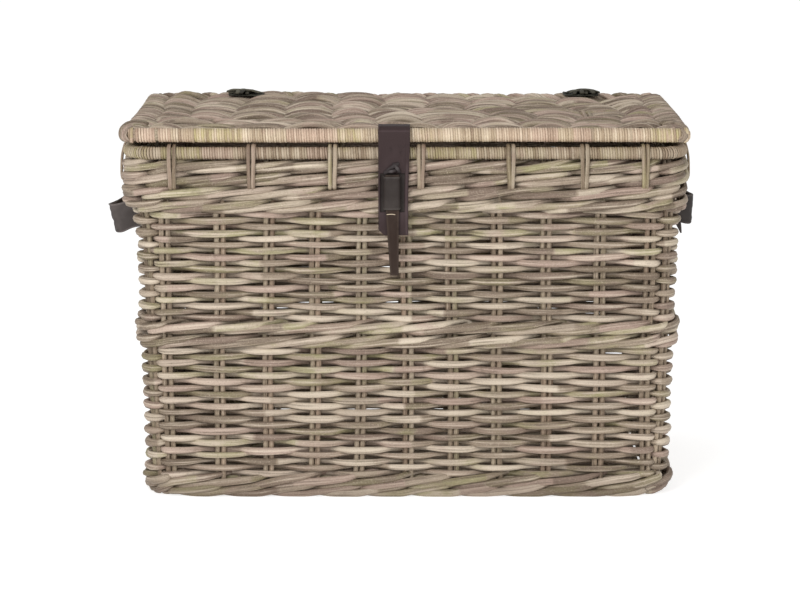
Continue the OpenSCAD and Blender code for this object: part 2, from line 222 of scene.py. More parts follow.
def plan_tables():
    """Arc lengths of the stake pairs round the plan, and the whole way round. They start at the front's left
    pair and go right, with one pair in the middle of every corner."""
    turn = FRONT_RUN + END_RUN + 2.0 * BEND
    long_wall = centred(LONG_PAIRS, LONG_PITCH) + FRONT_RUN / 2.0
    end_wall = centred(END_PAIRS, END_PITCH) + END_RUN / 2.0 + FRONT_RUN + BEND
    near = [FRONT_RUN + BEND / 2.0]
    far = [FRONT_RUN + BEND * 1.5 + END_RUN]
    half = np.concatenate([long_wall, near, end_wall, far])
    arcs = np.concatenate([half, half + turn])
    arcs[:LONG_PAIRS] += FRONT_SHIFT
    return arcs, 2.0 * turn


PAIR_ARC, ROUND = plan_tables()


def plan(arc):
    """Point and outward normal of the stakes' line at the floor, at an arc length: a point on the rim of a
    corner's circle, whose centre slides along the front, waits while the point turns a quarter, and does the
    same along the end. The other half is this half turned half way round."""
    arc = np.mod(arc, ROUND)
    flip = np.where(arc >= ROUND / 2.0, -1.0, 1.0)[..., None]
    s = np.mod(arc, ROUND / 2.0)
    x = np.clip(s, 0.0, FRONT_RUN) - FRONT_RUN / 2.0
    y = np.clip(s - FRONT_RUN - BEND, 0.0, END_RUN) - END_RUN / 2.0
    turned = np.clip(s - FRONT_RUN, 0.0, BEND) + np.clip(s - FRONT_RUN - BEND - END_RUN, 0.0, BEND)
    angle = turned / CORNER_R - math.pi / 2.0
    normal = flip * np.stack([np.cos(angle), np.sin(angle)], -1)
    return flip * np.stack([x, y], -1) + CORNER_R * normal, normal


def arc_of(u):
    """Arc length at a place u counted in stake pairs, so whole numbers stand on the pairs."""
    turns = np.floor(u / PAIRS_ROUND)
    knots = np.arange(PAIRS_ROUND + 1)
    lengths = np.append(PAIR_ARC, PAIR_ARC[0] + ROUND)
    return np.interp(u - turns * PAIRS_ROUND, knots, lengths) + turns * ROUND


def pair_drift(u, z):
    """How far along the wall the pair at place u has drifted at height z, from TOP_SHIFT on the front."""
    shifts = np.zeros(PAIRS_ROUND + 1)
    shifts[:LONG_PAIRS] = TOP_SHIFT
    shifts[-1] = TOP_SHIFT[0]
    return np.interp(np.mod(u, PAIRS_ROUND), np.arange(PAIRS_ROUND + 1), shifts) * np.clip(z / 0.42, 0.0, 1.1)


def flare(z):
    """How far the wall swells outward under the rim, and comes back to it."""
    return FLARE * smooth(0.385, 0.450, z) * (1.0 - smooth(0.488, 0.506, z))


def wall_point(arc, z, out):
    """Point of the wall: the plan scaled by the lean at height z, moved outward by out and by the flare. The
    right wall swells a little below the rim, and the corners are drawn in at the foot."""
    flat, normal = plan(arc)
    scale = np.stack([1.0 + LEAN_X * z / HALF_X, 1.0 + LEAN_Y * z / HALF_Y], -1)
    corner = np.abs(normal[..., 0] * normal[..., 1]) > 1e-6
    near_x = smooth(HALF_X - 0.075, HALF_X, np.abs(flat[..., 0]))
    near_y = smooth(HALF_Y - 0.075, HALF_Y, np.abs(flat[..., 1]))
    tuck = FOOT_TUCK * np.where(corner, 1.0, near_x * near_y) * (1.0 - smooth(0.0, 0.030, z))
    reach = (out + flare(z) - tuck)[..., None]
    xy = flat * scale + normal * reach
    swell = RIGHT_SWELL * smooth(0.20, HALF_X, flat[..., 0]) * (1.0 - smooth(0.395, 0.455, z))
    xy = xy + np.stack([swell, 0.0 * swell], -1)
    outward = np.concatenate([normal, np.zeros_like(z)[..., None]], -1)
    return np.concatenate([xy, z[..., None]], -1), outward


def frames(path, up, closed):
    """Tangent, side and normal along paths: the tangent by central differences, side = up x tangent, and
    normal = tangent x side, each at length one."""
    if closed:
        tangent = np.roll(path, -1, -2) - np.roll(path, 1, -2)
    else:
        tangent = np.gradient(path, axis=-2)
    tangent = unit(tangent)
    side = unit(np.cross(up, tangent))
    return tangent, side, np.cross(tangent, side)


class Pile:
    """Meshes to be joined: points, four-cornered and three-cornered faces, and values at the points."""

    def __init__(self):
        self.points = []
        self.quads = []
        self.tris = []
        self.tone = []
        self.grain = []
        self.size = 0

    def add(self, points, quads, tris, tone, grain):
        """Takes one mesh in, with its faces counted from its own first point."""
        self.points.append(points)
        self.quads.append(quads + self.size)
        self.tris.append(tris + self.size)
        self.tone.append(tone)
        self.grain.append(grain)
        self.size += len(points)


def grid_faces(count, n, m, closed):
    """Quads of count tubes, each n rings of m points, with the last ring joined to the first if closed."""
    rings = n if closed else n - 1
    tube = np.arange(count)[:, None, None] * n * m
    i = np.arange(rings)[None, :, None]
    j = np.arange(m)[None, None, :]
    here = tube + i * m
    there = tube + (i + 1) % n * m
    after = (j + 1) % m
    quads = np.stack([here + j, here + after, there + after, there + j], -1)
    return quads.reshape(-1, 4)


def sweep(pile, path, up, wide, high, tone, sides=8, closed=False, shape=1.0, turn=0.0):
    """Carries an oval section along paths: point = path + wide cos(a) side + high sin(a) normal, with the
    sines and cosines raised to shape to square the section. Open ends close on two shrinking rings.
    path and up are (count, n, 3), wide and high (count, n), and tone (count, n, 3)."""
    if not closed:
        path, up, wide, high, tone = with_ends(path, up, wide, high, tone)
    count, n, _ = path.shape
    tangent, side, normal = frames(path, up, closed)
    if not closed:
        for block in (tangent, side, normal):
            block[:, :3] = block[:, 3:4]
            block[:, -3:] = block[:, -4:-3]
    angle = np.arange(sides) * 2.0 * math.pi / sides + turn
    c = np.sign(np.cos(angle)) * np.abs(np.cos(angle)) ** shape
    s = np.sign(np.sin(angle)) * np.abs(np.sin(angle)) ** shape
    points = (
        path[:, :, None]
        + side[:, :, None] * (wide[:, :, None] * c)[..., None]
        + normal[:, :, None] * (high[:, :, None] * s)[..., None]
    )
    step = np.linalg.norm(np.diff(path, axis=1), axis=-1)
    along = np.concatenate([np.zeros((count, 1)), np.cumsum(step, 1)], 1)
    grain = np.stack(
        [
            np.broadcast_to(along[:, :, None], points.shape[:-1]),
            wide[:, :, None] * c,
            high[:, :, None] * s,
        ],
        -1,
    )
    grain = grain + np.arange(count)[:, None, None, None] * np.array([0.371, 0.113, 0.057]) + pile.size * 1e-5
    tones = np.broadcast_to(tone[:, :, None], points.shape)
    quads = grid_faces(count, n, sides, closed)
    tris = np.zeros((0, 3), int)
    if not closed:
        j = np.arange(1, sides - 1)
        first = np.arange(count)[:, None] * n * sides
        last = first + (n - 1) * sides
        start = np.stack([first + 0 * j, first + j + 1, first + j], -1)
        end = np.stack([last + 0 * j, last + j, last + j + 1], -1)
        tris = np.concatenate([start.reshape(-1, 3), end.reshape(-1, 3)])
    pile.add(points.reshape(-1, 3), quads, tris, tones.reshape(-1, 3), grain.reshape(-1, 3))


def with_ends(path, up, wide, high, tone):
    """Adds the small rings that round off the two ends of open tubes."""
    first = unit(path[:, :1] - path[:, 1:2])
    last = unit(path[:, -1:] - path[:, -2:-1])
    steps = np.array([0.0, 0.55, 0.8])
    shrink = np.array([1.0, 0.82, 0.45])
    w0 = wide[:, :1] * shrink[::-1]
    h0 = high[:, :1] * shrink[::-1]
    w1 = wide[:, -1:] * shrink
    h1 = high[:, -1:] * shrink
    p0 = path[:, :1] + first * (high[:, :1] * steps[::-1])[..., None]
    p1 = path[:, -1:] + last * (high[:, -1:] * steps)[..., None]
    rep = np.ones((1, 3, 1))
    return (
        np.concatenate([p0, path[:, 1:-1], p1], 1),
        np.concatenate([up[:, :1] * rep, up[:, 1:-1], up[:, -1:] * rep], 1),
        np.concatenate([w0, wide[:, 1:-1], w1], 1),
        np.concatenate([h0, high[:, 1:-1], h1], 1),
        np.concatenate([tone[:, :1] * rep, tone[:, 1:-1], tone[:, -1:] * rep], 1),
    )


def slab(pile, points, normals, thick, tone, keep=None):
    """A sheet of leather with thickness: the points of a grid moved half the thickness along their normals to
    both sides, and walls round every edge of the kept cells. The normals follow row direction x column
    direction. points and normals are (rows, columns, 3)."""
    rows, cols, _ = points.shape
    if keep is None:
        keep = np.ones((rows - 1, cols - 1), bool)
    half = normals * (thick[..., None] / 2.0)
    front = points + half
    back = points - half
    i, j = np.nonzero(keep)
    size = rows * cols
    a = i * cols + j
    top = np.stack([a, a + cols, a + cols + 1, a + 1], -1)
    under = np.stack([a, a + 1, a + cols + 1, a + cols], -1) + size
    around = np.pad(keep, 1)
    left = around[1:-1, :-1]
    right = around[1:-1, 1:]
    above = around[:-1, 1:-1]
    below = around[1:, 1:-1]
    walls = []
    for edge, step, flip in (
        (right & ~left, cols, False),
        (left & ~right, cols, True),
        (below & ~above, 1, True),
        (above & ~below, 1, False),
    ):
        i, j = np.nonzero(edge)
        a = i * cols + j
        wall = np.stack([a, a + size, a + size + step, a + step], -1)
        walls.append(wall[:, ::-1] if flip else wall)
    length = np.linalg.norm(np.diff(points, axis=0), axis=-1).cumsum(0)
    length = np.concatenate([np.zeros((1, cols)), length])
    width = np.linalg.norm(np.diff(points, axis=1), axis=-1).cumsum(1)
    width = np.concatenate([np.zeros((rows, 1)), width], 1)
    grain = np.stack([length, width, thick], -1).reshape(-1, 3)
    quads = np.concatenate([top, under] + walls)
    flat = np.concatenate([front.reshape(-1, 3), back.reshape(-1, 3)])
    tones = tone.reshape(-1, 3)
    used = np.zeros(2 * size, bool)
    used[quads] = True
    place = np.cumsum(used) - 1
    values = np.concatenate([tones, tones])[used]
    grains = np.concatenate([grain, grain])[used]
    pile.add(flat[used], place[quads], np.zeros((0, 3), int), values, grains)


def edge_places(low, high, inner):
    """Places across a sheet: three close together at each edge, where it rounds off, and others between."""
    step = np.array([0.0, 0.0004, 0.0013])
    middle = np.linspace(low + 0.0013, high - 0.0013, inner + 2)[1:-1]
    return np.concatenate([low + step, middle, high - step[::-1]])


def strap(pile, rng, points, across, widths, thick, rows=48, inner=5, sway=0.0004):
    """A leather strap: a smooth line through points, carried sideways. Its thickness falls off to its edges
    as a quarter circle, and its faces stray a little. across is its sideways direction, and widths is its
    width at equal steps from its start to its end."""
    line = smooth_path(points, 400)
    total = np.linalg.norm(np.diff(line, axis=0), axis=1).sum()
    along = edge_places(0.0, total, rows - 6)
    run = np.linspace(0.0, total, 400)
    line = np.stack([np.interp(along, run, line[:, k]) for k in range(3)], -1)
    rows = len(along)
    width = np.interp(along / total, np.linspace(0.0, 1.0, len(widths)), widths)
    places = np.concatenate([[0.0, 0.010, 0.033], np.linspace(0.08, 0.92, inner), [0.967, 0.990, 1.0]])
    across = unit(np.broadcast_to(np.asarray(across, float), (rows, 3)))
    offset = (places[None, :] - 0.5) * width[:, None]
    normal = unit(np.cross(np.gradient(line, along, axis=0), across))
    grid = line[:, None] + across[:, None] * offset[..., None]
    normals = np.broadcast_to(normal[:, None], grid.shape)
    side = np.minimum(places, 1.0 - places)[None, :] * width[:, None]
    edge = np.minimum(side, np.minimum(along, total - along)[:, None])
    fall = np.sqrt(1.0 - (1.0 - np.clip(edge / 0.0012, 0.0, 1.0)) ** 2)
    stray = wander(rng, len(places), rows, max(2, rows // 6), sway, False).T
    grid = grid + normals * stray[..., None]
    tone = np.stack([rng.random() + 0.0 * edge, 1.0 - smooth(0.0, 0.005, edge), 0.0 * edge], -1)
    slab(pile, grid, normals, thick * (0.45 + 0.55 * fall), tone)


def make_object(name, pile, material, body, nodes):
    """Turns a pile into one smooth mesh object that stands for its nodes. Given one body's name it rides on
    that body; given anything else it stays where it is.
    """
    points = np.concatenate(pile.points)
    quads = np.concatenate(pile.quads)
    tris = np.concatenate(pile.tris)
    mesh = bpy.data.meshes.new(name)
    mesh.vertices.add(len(points))
    mesh.vertices.foreach_set("co", points.astype(np.float32).ravel())
    mesh.loops.add(len(quads) * 4 + len(tris) * 3)
    mesh.loops.foreach_set("vertex_index", np.concatenate([quads.ravel(), tris.ravel()]).astype(np.int32))
    starts = np.concatenate([np.arange(len(quads)) * 4, len(quads) * 4 + np.arange(len(tris)) * 3])
    mesh.polygons.add(len(starts))
    mesh.polygons.foreach_set("loop_start", starts.astype(np.int32))
    mesh.update(calc_edges=True)
    mesh.polygons.foreach_set("use_smooth", np.ones(len(starts), bool))
    for label, parts in (("tone", pile.tone), ("grain", pile.grain)):
        values = np.concatenate(parts).astype(np.float32)
        mesh.attributes.new(label, "FLOAT_VECTOR", "POINT").data.foreach_set("vector", values.ravel())
    mesh.validate()
    obj = bpy.data.objects.new(name, mesh)
    bpy.context.scene.collection.objects.link(obj)
    mesh.materials.append(material)
    if isinstance(body, str):
        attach(obj, body)
    else:
        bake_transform(obj)
    if nodes:
        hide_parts(*nodes)
    return obj


# ---------------------------------------------------------------- strands

UP = np.array([0.0, 0.0, 1.0])
# Rings begin and end between two pairs of the back, where the wales step up
START = 29.5


def piece_tones(rng, count, steps, pieces, spread=1.0, light=0.0, hue=0.0):
    """Tones along strands: each strand is laid from several lengths of rattan, and each length has its own
    three random values, from 0 to 1. The change comes where a length ends. light and hue shift the means."""
    edges = (np.arange(1, pieces) + rng.uniform(-0.38, 0.38, (count, pieces - 1))) / pieces * steps
    which = (np.arange(steps)[None, :, None] >= edges[:, None, :]).sum(-1)
    values = rng.random((count, pieces, 3))
    tone = np.take_along_axis(values, which[..., None].repeat(3, -1), 1)
    return np.clip(0.5 + (tone - 0.5) * spread + np.array([light, hue, 0.0]), 0.0, 1.0)


def weave_rows(pile, rng, low, high, rows, strand, stake, first_row):
    """Plain weave: ring r at height z passes outside the pair k where k + r is even. Its distance from the
    stakes' line is a flattened cosine of the place counted in pairs, and it is thickest outside a pair. The
    back wall has fuller strands."""
    steps = 12
    n = PAIRS_ROUND * steps
    u = np.arange(n) / steps + START
    row = np.arange(rows)[:, None] + first_row
    radius = strand / 2.0 * (1.0 + rng.normal(0.0, 0.05, (rows, 1)) + wander(rng, rows, n, steps, 0.06))
    swing = np.cos(np.pi * (u[None] + row))
    flat = np.tanh(1.3 * swing) / math.tanh(1.3)
    reach = (stake / 2.0 + radius * 0.94) * flat * (1.0 + wander(rng, rows, n, steps, 0.07))
    pitch = (high - low) / rows
    bow = wander(rng, rows, n, 2 * steps, 0.0007) + wander(rng, rows, n, steps, 0.0006)
    z = low + pitch * (np.arange(rows)[:, None] + 0.5) + bow
    arc = arc_of(u)[None] + pair_drift(u[None], z) + wander(rng, rows, n, 3 * steps, 0.002)
    path, outward = wall_point(arc, z, reach)
    tone = piece_tones(rng, rows, n, pieces=14)
    tall = radius * (0.89 + 0.17 * np.clip(swing, 0.0, 1.0) + 0.05 * np.clip(-swing, 0.0, 1.0))
    pair = np.mod(u, PAIRS_ROUND)
    first, last = BACK_PAIRS[0], BACK_PAIRS[-1]
    back = smooth(first - 1.5, first, pair) * (1.0 - smooth(last, last + 1.5, pair))
    tall = tall * (1.0 + 0.24 * back)
    sweep(pile, path, outward, tall, radius * 0.94, tone, closed=True)


def wale_round(pile, rng, z, strand, stake, rise, out, start, light=0.0):
    """One round of three-rod wale: each strand goes outside two pairs and inside one, climbing as it goes,
    and the three start one pair apart. On the back the floats shorten, so that a whole number of them goes
    round. Where a strand comes out it is lower and closer in, and where it goes in again it lies over the
    next one. light shifts its tones."""
    steps = 12
    n = PAIRS_ROUND * steps
    u = np.arange(n) / steps + START
    last = START + PAIRS_ROUND
    phase = u + smooth(last - 6.0, last, u) * (-PAIRS_ROUND % 3)
    for rod in range(3):
        tau = np.mod(phase - rod - start + 0.5, 3.0) - 0.5
        outside = smooth(-0.42, 0.35, tau) * (1.0 - smooth(1.65, 2.42, tau))
        radius = strand / 2.0 * (1.0 + wander(rng, 1, n, steps, 0.08))
        inside = -(stake / 2.0 + radius)
        lap = 0.30 * strand * (smooth(0.0, 2.0, tau) - 0.6)
        reach = inside + (stake / 2.0 + radius + out + lap - inside) * outside
        climb = np.clip((tau + 0.35) / 2.7, 0.0, 1.0) - 0.5
        climb = np.where(tau > 2.35, 0.5 - smooth(2.35, 2.5, tau) * 0.5, climb)
        climb = np.where(tau < -0.35, -0.5 * smooth(-0.5, -0.35, tau), climb)
        height = z + rise * climb[None] + wander(rng, 1, n, steps, 0.0010)
        height = np.maximum(height, radius * 0.9)
        path, outward = wall_point(arc_of(u)[None] + pair_drift(u[None], height), height, reach)
        taper = 1.08 - 0.32 * (1.0 - smooth(-0.40, 0.55, tau)) - 0.28 * smooth(1.45, 2.30, tau)
        # A negative light darkens the round's tones: painted shade.
        tone = piece_tones(rng, 1, n, pieces=20, light=light)
        sweep(pile, path, outward, radius * taper, radius * 0.9 * taper, tone, closed=True)


def backing(pile, rng, low, high, strand, stake):
    """Rings of rattan just inside the stakes, which close the wall behind a wale."""
    steps = 6
    n = PAIRS_ROUND * steps
    u = np.arange(n) / steps + START
    rows = round((high - low) / 0.0092)
    pitch = (high - low) / rows
    z = low + pitch * (np.arange(rows)[:, None] + 0.5) + wander(rng, rows, n, 8, 0.0006)
    arc = arc_of(u)[None] + 0.0 * z
    path, outward = wall_point(arc, z, -(stake + strand) / 2.0 - 0.0006 + 0.0 * z)
    radius = strand / 2.0 * (1.0 + wander(rng, rows, n, 9, 0.04))
    # The rings' tones are shifted darker: painted shade in the gaps of the wale.
    tone = piece_tones(rng, rows, n, pieces=6, spread=0.8, light=-0.3)
    sweep(pile, path, outward, radius * 1.05, radius * 0.8, tone, closed=True)


def patchy(rng, rows, steps, every, size):
    """Smooth walks along rows that also change slowly from row to row: a walk for every ninth row, and cosine
    curves between them."""
    knots = wander(rng, rows // 9 + 2, steps, every, size, False)
    at = np.arange(rows) / 9.0
    low = at.astype(int)
    part = smooth(0.0, 1.0, at - low)[:, None]
    return knots[low] * (1.0 - part) + knots[low + 1] * part


def flat_rows(pile, rng, knots, places, level, strand, swing, ends=0.0, shape=None, drift=0.0):
    """Weave lying flat: row r runs along X at a place along Y, over the rod k where k + r is odd. The knots
    are the rods' places along X. With ends, each row goes half way round its outermost rod at that radius and
    dives back into the weave. The drift shifts its waves along X, and shape moves the finished paths."""
    steps = 9
    rows = len(places)
    u = np.arange((len(knots) - 1) * steps + 1) / steps
    n = len(u)
    x = np.broadcast_to(np.interp(u, np.arange(len(knots)), knots), (rows, n))
    row = np.arange(rows)[:, None]
    hold = np.minimum(u, u[-1] - u).clip(0.0, 1.0)
    phase = u[None] + row + 1 + drift * patchy(rng, rows, n, 2 * steps, 1.0) * hold
    wave = np.cos(np.pi * phase)
    flat = np.tanh(1.2 * wave) / math.tanh(1.2)
    y = np.asarray(places)[:, None] + wander(rng, rows, n, steps, 0.0007 + 0.006 * drift, False) * hold
    z = level + swing * flat * (1.0 + wander(rng, rows, n, steps, 0.07 + drift, False) * hold)
    z = z + patchy(rng, rows, n, 2 * steps, 0.008 * drift) * hold
    path = np.stack([x, y, z], -1)
    up = np.zeros_like(path)
    up[..., 2] = 1.0
    if ends:
        # Eight steps half way round the outermost rod, and two more back into the weave
        turn = np.append(np.linspace(0.0, math.pi, 9)[1:], [3.5, 3.9])
        round_trip = np.append(np.ones(8), [0.80, 0.35])
        for side in (-1.0, 1.0):
            edge = 0 if side < 0.0 else -1
            sign = np.sign(flat[:, edge])[:, None]
            inward = np.append(np.zeros(8), [0.010, 0.020])
            ex = knots[edge] + side * (ends * np.sin(turn).clip(0.0) - inward)[None] + 0.0 * sign
            bulge = swing + (ends - swing) * np.sin(turn).clip(0.0) * 0.3
            ez = level + sign * bulge * np.cos(turn) * round_trip
            ey = y[:, [edge]] + 0.0030 * (turn / math.pi)[None]
            wrap = np.stack([ex, ey, ez], -1)
            away = np.stack([side * np.sin(turn)[None] * sign, 0.0 * ez, np.cos(turn)[None] + 0.0 * ez], -1)
            away[:, 8:] = away[:, 7:8]
            if side < 0.0:
                path = np.concatenate([wrap[:, ::-1], path], 1)
                up = np.concatenate([away[:, ::-1], up], 1)
            else:
                path = np.concatenate([path, wrap], 1)
                up = np.concatenate([up, away], 1)
    if shape is not None:
        path = shape(path)
    n = path.shape[1]
    stray = rng.normal(0.0, 0.05, (rows, 1))
    radius = strand / 2.0 * (1.0 + stray + wander(rng, rows, n, steps, 0.05, False))
    light, hue = (-0.16, -0.08) if ends else (0.0, 0.0)
    tone = piece_tones(rng, rows, n, pieces=5, light=light, hue=hue)
    sweep(pile, path, up, radius * 1.05, radius * 0.95, tone)


def binding(pile, rng, line, up, core, cane, olive=None):
    """Cane wound round a pole: a helix round the line, one cane's width forward for each turn. Each turn has
    its own brightness, and the hue changes where a length of cane ends. olive gives how yellow-green each
    point is."""
    length = np.concatenate([[0.0], np.cumsum(np.linalg.norm(np.diff(line, axis=0), axis=1))])
    turns = int(length[-1] / cane)
    per_turn = 12
    q = np.arange(turns * per_turn + 1) / per_turn
    s = q * length[-1] / turns
    centre = np.stack([np.interp(s, length, line[:, k]) for k in range(3)], -1)
    top = unit(np.stack([np.interp(s, length, up[:, k]) for k in range(3)], -1))
    tangent = unit(np.gradient(centre, axis=0))
    side = np.cross(tangent, top)
    angle = (q * 2.0 * math.pi)[:, None]
    radial = top * np.cos(angle) + side * np.sin(angle)
    turn = np.floor(q + 0.35).astype(int)
    lift = rng.normal(0.0, 0.00018, turns + 2)[turn]
    path = centre + radial * (core + 0.00025 + lift)[:, None]
    lengths = np.cumsum(rng.exponential(0.11, turns + 2)).astype(int)
    hue = rng.random(lengths.max() + 1)[lengths][turn]
    light = np.clip(rng.normal(0.55, 0.22, turns + 2), 0.0, 1.0)[turn]
    wear = rng.random(turns + 2)[turn]
    if olive is not None:
        hue = hue + (0.97 - hue) * olive(centre)
    tone = np.stack([light, hue, wear], -1)
    wide = cane * 0.53 * (1.0 + rng.normal(0.0, 0.05, turns + 2))[turn]
    sweep(pile, path[None], radial[None], wide[None], np.full((1, len(q)), 0.00095), tone[None], sides=6)


def pole(pile, rng, line, up, radius, sides=12, closed=False, ripple=0.0003):
    """A bare pole along a line."""
    n = len(line)
    r = np.full((1, n), radius) + wander(rng, 1, n, 12, ripple, closed)
    tone = piece_tones(rng, 1, n, pieces=2, spread=0.7)
    sweep(pile, line[None], np.broadcast_to(up, line.shape)[None], r, r, tone, sides, closed)


# ---------------------------------------------------------------- materials


class Wire:
    """A value, vector or colour on its way through a material, with Python's operators as nodes."""

    def __init__(self, tree, socket):
        self.tree = tree
        self.socket = socket

    def make(self, kind, settings=None, inputs=None, output=0):
        """Adds a node: its type, its settings, and the values or wires of its sockets."""
        node = self.tree.nodes.new(kind)
        for name, value in (settings or {}).items():
            setattr(node, name, value)
        for key, value in (inputs or {}).items():
            if isinstance(value, Wire):
                self.tree.links.new(value.socket, node.inputs[key])
            else:
                node.inputs[key].default_value = value
        return Wire(self.tree, node.outputs[output])

    def maths(self, operation, a, b):
        """A Math node on two wires or numbers."""
        return self.make("ShaderNodeMath", {"operation": operation}, {0: a, 1: b})

    def __add__(self, other):
        return self.maths("ADD", self, other)

    def __radd__(self, other):
        return self.maths("ADD", other, self)

    def __sub__(self, other):
        return self.maths("SUBTRACT", self, other)

    def __rsub__(self, other):
        return self.maths("SUBTRACT", other, self)

    def __mul__(self, other):
        return self.maths("MULTIPLY", self, other)

    def __rmul__(self, other):
        return self.maths("MULTIPLY", other, self)

    def ramp(self, low, high):
        """0 below low and 1 above high, with a smooth step between."""
        return self.make(
            "ShaderNodeMapRange",
            {"interpolation_type": "SMOOTHSTEP"},
            {"Value": self, "From Min": low, "From Max": high},
        )

    def noise(self, scale, detail=2.0, rough=0.5):
        """Noise at this vector."""
        return self.make(
            "ShaderNodeTexNoise", {}, {"Vector": self, "Scale": scale, "Detail": detail, "Roughness": rough}
        )

    def scaled(self, x, y, z):
        """This vector with each part multiplied."""
        return self.make("ShaderNodeVectorMath", {"operation": "MULTIPLY"}, {0: self, 1: (x, y, z)})

    def part(self, index):
        """One part of this vector."""
        return self.make("ShaderNodeSeparateXYZ", {}, {0: self}, index)

    def mixed(self, other, amount):
        """This colour turned towards another."""
        inputs = {0: amount, 6: self, 7: (*other, 1.0)}
        return self.make("ShaderNodeMix", {"data_type": "RGBA"}, inputs, output=2)

    def plain(self, colour):
        """One plain colour."""
        wire = self.make("ShaderNodeRGB")
        wire.socket.default_value = (*colour, 1.0)
        return wire

    def stored(self, name):
        """A vector that the mesh holds at its points."""
        return self.make("ShaderNodeAttribute", {"attribute_name": name}, output=1)

    def own_place(self):
        """Where the point is in the object's own frame."""
        return self.make("ShaderNodeTexCoord", output=3)


def start_material(name):
    """A new material, its Principled shader, and a wire to make nodes from."""
    material = bpy.data.materials.new(name)
    material.use_nodes = True
    tree = material.node_tree
    shader = tree.nodes["Principled BSDF"]
    return material, shader, Wire(tree, None)


def finish_material(shader, start, colour, rough, height, depth, distance):
    """Joins colour, roughness and bump to the shader."""
    tree = start.tree
    tree.links.new(colour.socket, shader.inputs["Base Color"])
    tree.links.new(rough.socket, shader.inputs["Roughness"])
    bump = start.make("ShaderNodeBump", {}, {"Height": height, "Strength": depth, "Distance": distance})
    tree.links.new(bump.socket, shader.inputs["Normal"])


def rattan(name, base, pale, olive, pink, dark, fibre=1.0):
    """Rattan: a tone for each length, streaks along the fibre, blotches, scuffs, and painted shade at the
    foot.
    """
    material, shader, start = start_material(name)
    tone = start.stored("tone")
    grain = start.stored("grain")
    place = start.own_place()
    light = tone.part(0)
    hue = tone.part(1)
    wear = tone.part(2)
    streak = grain.scaled(9.0, 330.0, 330.0).noise(1.0, 4.0, 0.62)
    fine = grain.scaled(40.0, 2400.0, 2400.0).noise(1.0, 2.0, 0.5)
    blotch = grain.scaled(22.0, 60.0, 60.0).noise(1.0, 3.0, 0.6)
    dirt = place.noise(60.0, 4.0, 0.65)
    tide = place.scaled(1.0, 1.0, 2.0).noise(17.0, 3.0, 0.55)
    speck = place.noise(520.0, 3.0, 0.75)
    colour = start.plain(base)
    colour = colour.mixed(pale, light.ramp(0.35, 1.0) * 0.75)
    colour = colour.mixed(olive, hue.ramp(0.60, 0.95) * blotch.ramp(0.35, 0.65) * 0.75)
    colour = colour.mixed(olive, tide.ramp(0.54, 0.70) * blotch.ramp(0.40, 0.62) * 0.40)
    colour = colour.mixed(pink, (1.0 - hue).ramp(0.60, 0.92) * 0.70)
    colour = colour.mixed(pink, (1.0 - tide).ramp(0.53, 0.68) * (1.0 - blotch).ramp(0.40, 0.62) * 0.5)
    colour = colour.mixed(dark, (1.0 - light).ramp(0.55, 1.0) * 0.55)
    colour = colour.mixed(pale, streak.ramp(0.50, 0.70) * 0.66)
    colour = colour.mixed(dark, (1.0 - streak).ramp(0.49, 0.70) * 0.70 * fibre)
    colour = colour.mixed(dark, dirt.ramp(0.56, 0.80) * wear * 0.55)
    colour = colour.mixed(pale, speck.ramp(0.54, 0.70) * 0.42)
    colour = colour.mixed(dark, (1.0 - speck).ramp(0.54, 0.70) * 0.42)
    # Painted shade: the rattan is darker towards the floor, over its lowest 42 mm of height.
    colour = colour.mixed(dark, (1.0 - place.part(2).ramp(0.0, 0.042)) * 0.42)
    rough = 0.52 + streak * 0.22
    height = streak * 0.6 + fine * 0.25 + speck * 0.25
    finish_material(shader, start, colour, rough, height, 0.7 * fibre, 0.0012)
    shader.inputs["Specular IOR Level"].default_value = 0.35
    return material


def leather(name, base, worn, shine):
    """Leather: fine pebbled grain, creases, a paler worn edge, rubbed high spots, and pale folds."""
    material, shader, start = start_material(name)
    tone = start.stored("tone")
    place = start.own_place()
    edge = tone.part(1)
    pebble = start.make(
        "ShaderNodeTexVoronoi", {"feature": "SMOOTH_F1"}, {"Vector": place, "Scale": 950.0, "Smoothness": 0.6}
    )
    rub = place.noise(85.0, 4.0, 0.6)
    cloud = place.noise(22.0, 3.0, 0.55)
    crease = place.scaled(1.0, 1.0, 2.6).noise(160.0, 3.0, 0.7)
    colour = start.plain(base)
    colour = colour.mixed(worn, cloud.ramp(0.45, 0.80) * 0.35)
    colour = colour.mixed(worn, edge.ramp(0.2, 1.0) * (0.10 + rub * 0.9))
    colour = colour.mixed([c * 0.45 for c in base], (1.0 - rub).ramp(0.55, 0.75) * 0.5)
    colour = colour.mixed([c * 1.7 for c in worn], tone.part(2).ramp(0.1, 1.0))
    rough = shine + rub * 0.2
    height = pebble * 0.5 + crease * 0.5
    finish_material(shader, start, colour, rough, height, 0.4, 0.0007)
    shader.inputs["Specular IOR Level"].default_value = 0.14
    return material


# ---------------------------------------------------------------- operators


def settings():
    """The sizes and colours that the panel shows."""
    scene = bpy.context.scene
    return scene.trunk_weave, scene.trunk_colours


def once(make, name, *values):
    """The material of that name, made the first time that a piece asks for it."""
    return bpy.data.materials.get(name) or make(name, *values)


def wicker_material():
    """The grey-washed rattan of the weave."""
    tints = (0.62, 0.53, 0.42), (0.28, 0.26, 0.12), (0.37, 0.26, 0.215), (0.080, 0.052, 0.033)
    return once(rattan, "grey_washed_rattan", settings()[1].wicker, *tints)


def pole_material():
    """The bare rattan of the stakes and poles."""
    tints = (0.48, 0.40, 0.30), (0.24, 0.22, 0.12), (0.30, 0.20, 0.14), (0.075, 0.048, 0.030)
    return once(rattan, "bare_pole", settings()[1].pole, *tints)


def cane_material(name="pale_cane", shade=1.0):
    """The binding cane. A shade below one makes a darker copy of all its tints: painted shade."""
    tints = settings()[1].cane, (0.68, 0.57, 0.43), (0.46, 0.40, 0.18), (0.50, 0.35, 0.27), (0.16, 0.10, 0.06)
    return once(rattan, name, *[tuple(c * shade for c in tint) for tint in tints], 0.9)


